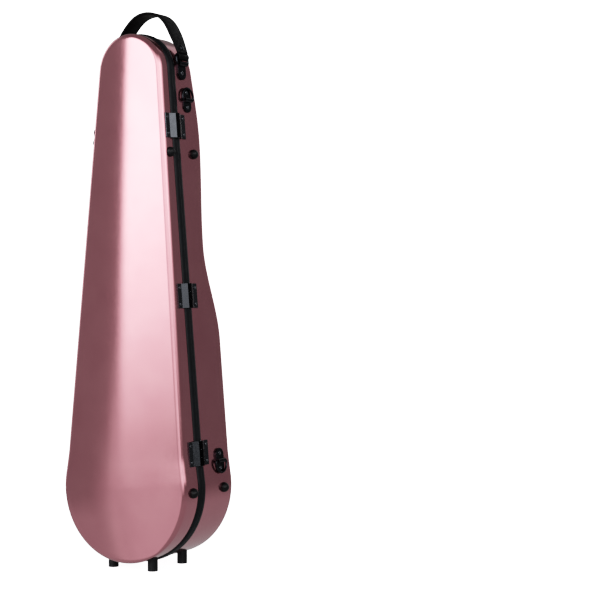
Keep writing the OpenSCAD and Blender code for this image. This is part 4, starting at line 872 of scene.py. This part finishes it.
def makeStudio():
    # a world whose brightness is the ambient light and the strongest panel in each direction
    world = bpy.data.worlds.new("studio")
    bpy.context.scene.world = world
    world.use_nodes = True
    tree = world.node_tree
    coords = addNode(tree, "ShaderNodeTexCoord").outputs["Generated"]
    way = addNode(tree, "ShaderNodeSeparateXYZ", Vector=coords)
    front = addNode(tree, "ShaderNodeMath", operation="MULTIPLY", _0=way.outputs["Y"], _1=-1.0)
    azimuth = addNode(tree, "ShaderNodeMath", operation="ARCTAN2", _0=way.outputs["X"], _1=front.outputs[0])
    height = addNode(tree, "ShaderNodeMath", operation="ARCSINE", _0=way.outputs["Z"])
    fadeFrom, fadeTo = np.radians([studio["ceiling"], studio["ceiling"] + studio["ceilingFade"]])
    ceiling = addNode(tree, "ShaderNodeMapRange", Value=height.outputs[0], From_Min=fadeFrom, From_Max=fadeTo,
                      To_Min=1.0, To_Max=0.0)
    panels = []
    for centre, half, soft, low, high, strength, slant in studio["panels"]:
        off = addNode(tree, "ShaderNodeMath", operation="SUBTRACT", _0=azimuth.outputs[0],
                      _1=np.radians(centre))
        off = addNode(tree, "ShaderNodeMath", operation="WRAP", _0=off.outputs[0], _1=np.pi, _2=-np.pi)
        level = addNode(tree, "ShaderNodeMath", operation="MULTIPLY_ADD", _0=off.outputs[0], _1=-slant,
                        _2=height.outputs[0])
        off = addNode(tree, "ShaderNodeMath", operation="ABSOLUTE", _0=off.outputs[0])
        wide = addNode(tree, "ShaderNodeMapRange", Value=off.outputs[0], From_Min=np.radians(half + soft),
                       From_Max=np.radians(half - soft), interpolation_type="SMOOTHSTEP")
        tall = addNode(tree, "ShaderNodeMapRange", Value=level.outputs[0], From_Min=np.radians(low),
                       From_Max=np.radians(high), To_Max=strength)
        lit = addNode(tree, "ShaderNodeMath", operation="MULTIPLY", _0=wide.outputs[0], _1=tall.outputs[0])
        panels.append(addNode(tree, "ShaderNodeMath", operation="MULTIPLY", _0=lit.outputs[0],
                              _1=ceiling.outputs[0]))
    total = panels[0]
    for lit in panels[1:]:
        total = addNode(tree, "ShaderNodeMath", operation="MAXIMUM", _0=total.outputs[0], _1=lit.outputs[0])
    glow = addNode(tree, "ShaderNodeMath", operation="ADD", _0=total.outputs[0], _1=studio["ambient"])
    seen = addNode(tree, "ShaderNodeLightPath").outputs["Is Camera Ray"]
    addNode(tree, "ShaderNodeMix", tree.nodes["Background"].inputs["Strength"], data_type="FLOAT", _0=seen,
            _2=glow.outputs[0], _3=studio["backdrop"])
    tree.nodes["Background"].inputs["Color"].default_value = (1, 1, 1, 1)


# the photo's viewpoint: degrees round from the front and up, metres away, and the point in mid-picture
viewpoint = {"azimuth": 36.28, "elevation": 0.55, "distance": 2.3685, "middle": 0.411, "across": 0.2291,
             "up": -0.0133, "focalPixels": 1569.7, "picture": 600, "sensor": 36.0}


def makeCamera():
    az, el = np.radians(viewpoint["azimuth"]), np.radians(viewpoint["elevation"])
    ahead = np.array([-np.sin(az) * np.cos(el), np.cos(az) * np.cos(el), -np.sin(el)])
    right = np.array([np.cos(az), np.sin(az), 0.0])
    middle = np.array([0, 0, viewpoint["middle"]])
    eye = middle - viewpoint["distance"] * ahead
    aim = middle + viewpoint["across"] * right + viewpoint["up"] * np.cross(right, ahead)
    lens = bpy.data.cameras.new("camera")
    lens.sensor_width = viewpoint["sensor"]
    lens.lens = viewpoint["focalPixels"] / viewpoint["picture"] * viewpoint["sensor"]
    camera = bpy.data.objects.new("camera", lens)
    camera.location = eye
    camera.rotation_euler = Vector(aim - eye).to_track_quat("-Z", "Y").to_euler()
    bpy.context.scene.collection.objects.link(camera)
    bpy.context.scene.camera = camera


tone = {"power": 1.65, "half": 0.577, "top": 1.2, "reach": 2.5,
        "knots": (0.02, 0.05, 0.1, 0.2, 0.35, 0.55, 0.8, 1.1, 1.5)}


def setTone():
    # the picture's contrast: top x^p / (x^p + half^p) on each channel, so that darks deepen and
    # highlights pale softly, as on film
    view = bpy.context.scene.view_settings
    view.view_transform = "Standard"
    view.use_curve_mapping = True
    view.curve_mapping.white_level = (tone["reach"],) * 3
    curve = view.curve_mapping.curves[3]
    x = np.array(tone["knots"])
    y = tone["top"] * x ** tone["power"] / (x ** tone["power"] + tone["half"] ** tone["power"])
    for a, b in zip(x, np.minimum(y, 1)):
        curve.points.new(a / tone["reach"], b)
    view.curve_mapping.update()


makeFloor()
makeStudio()
makeCamera()
setTone()
print("stage made")
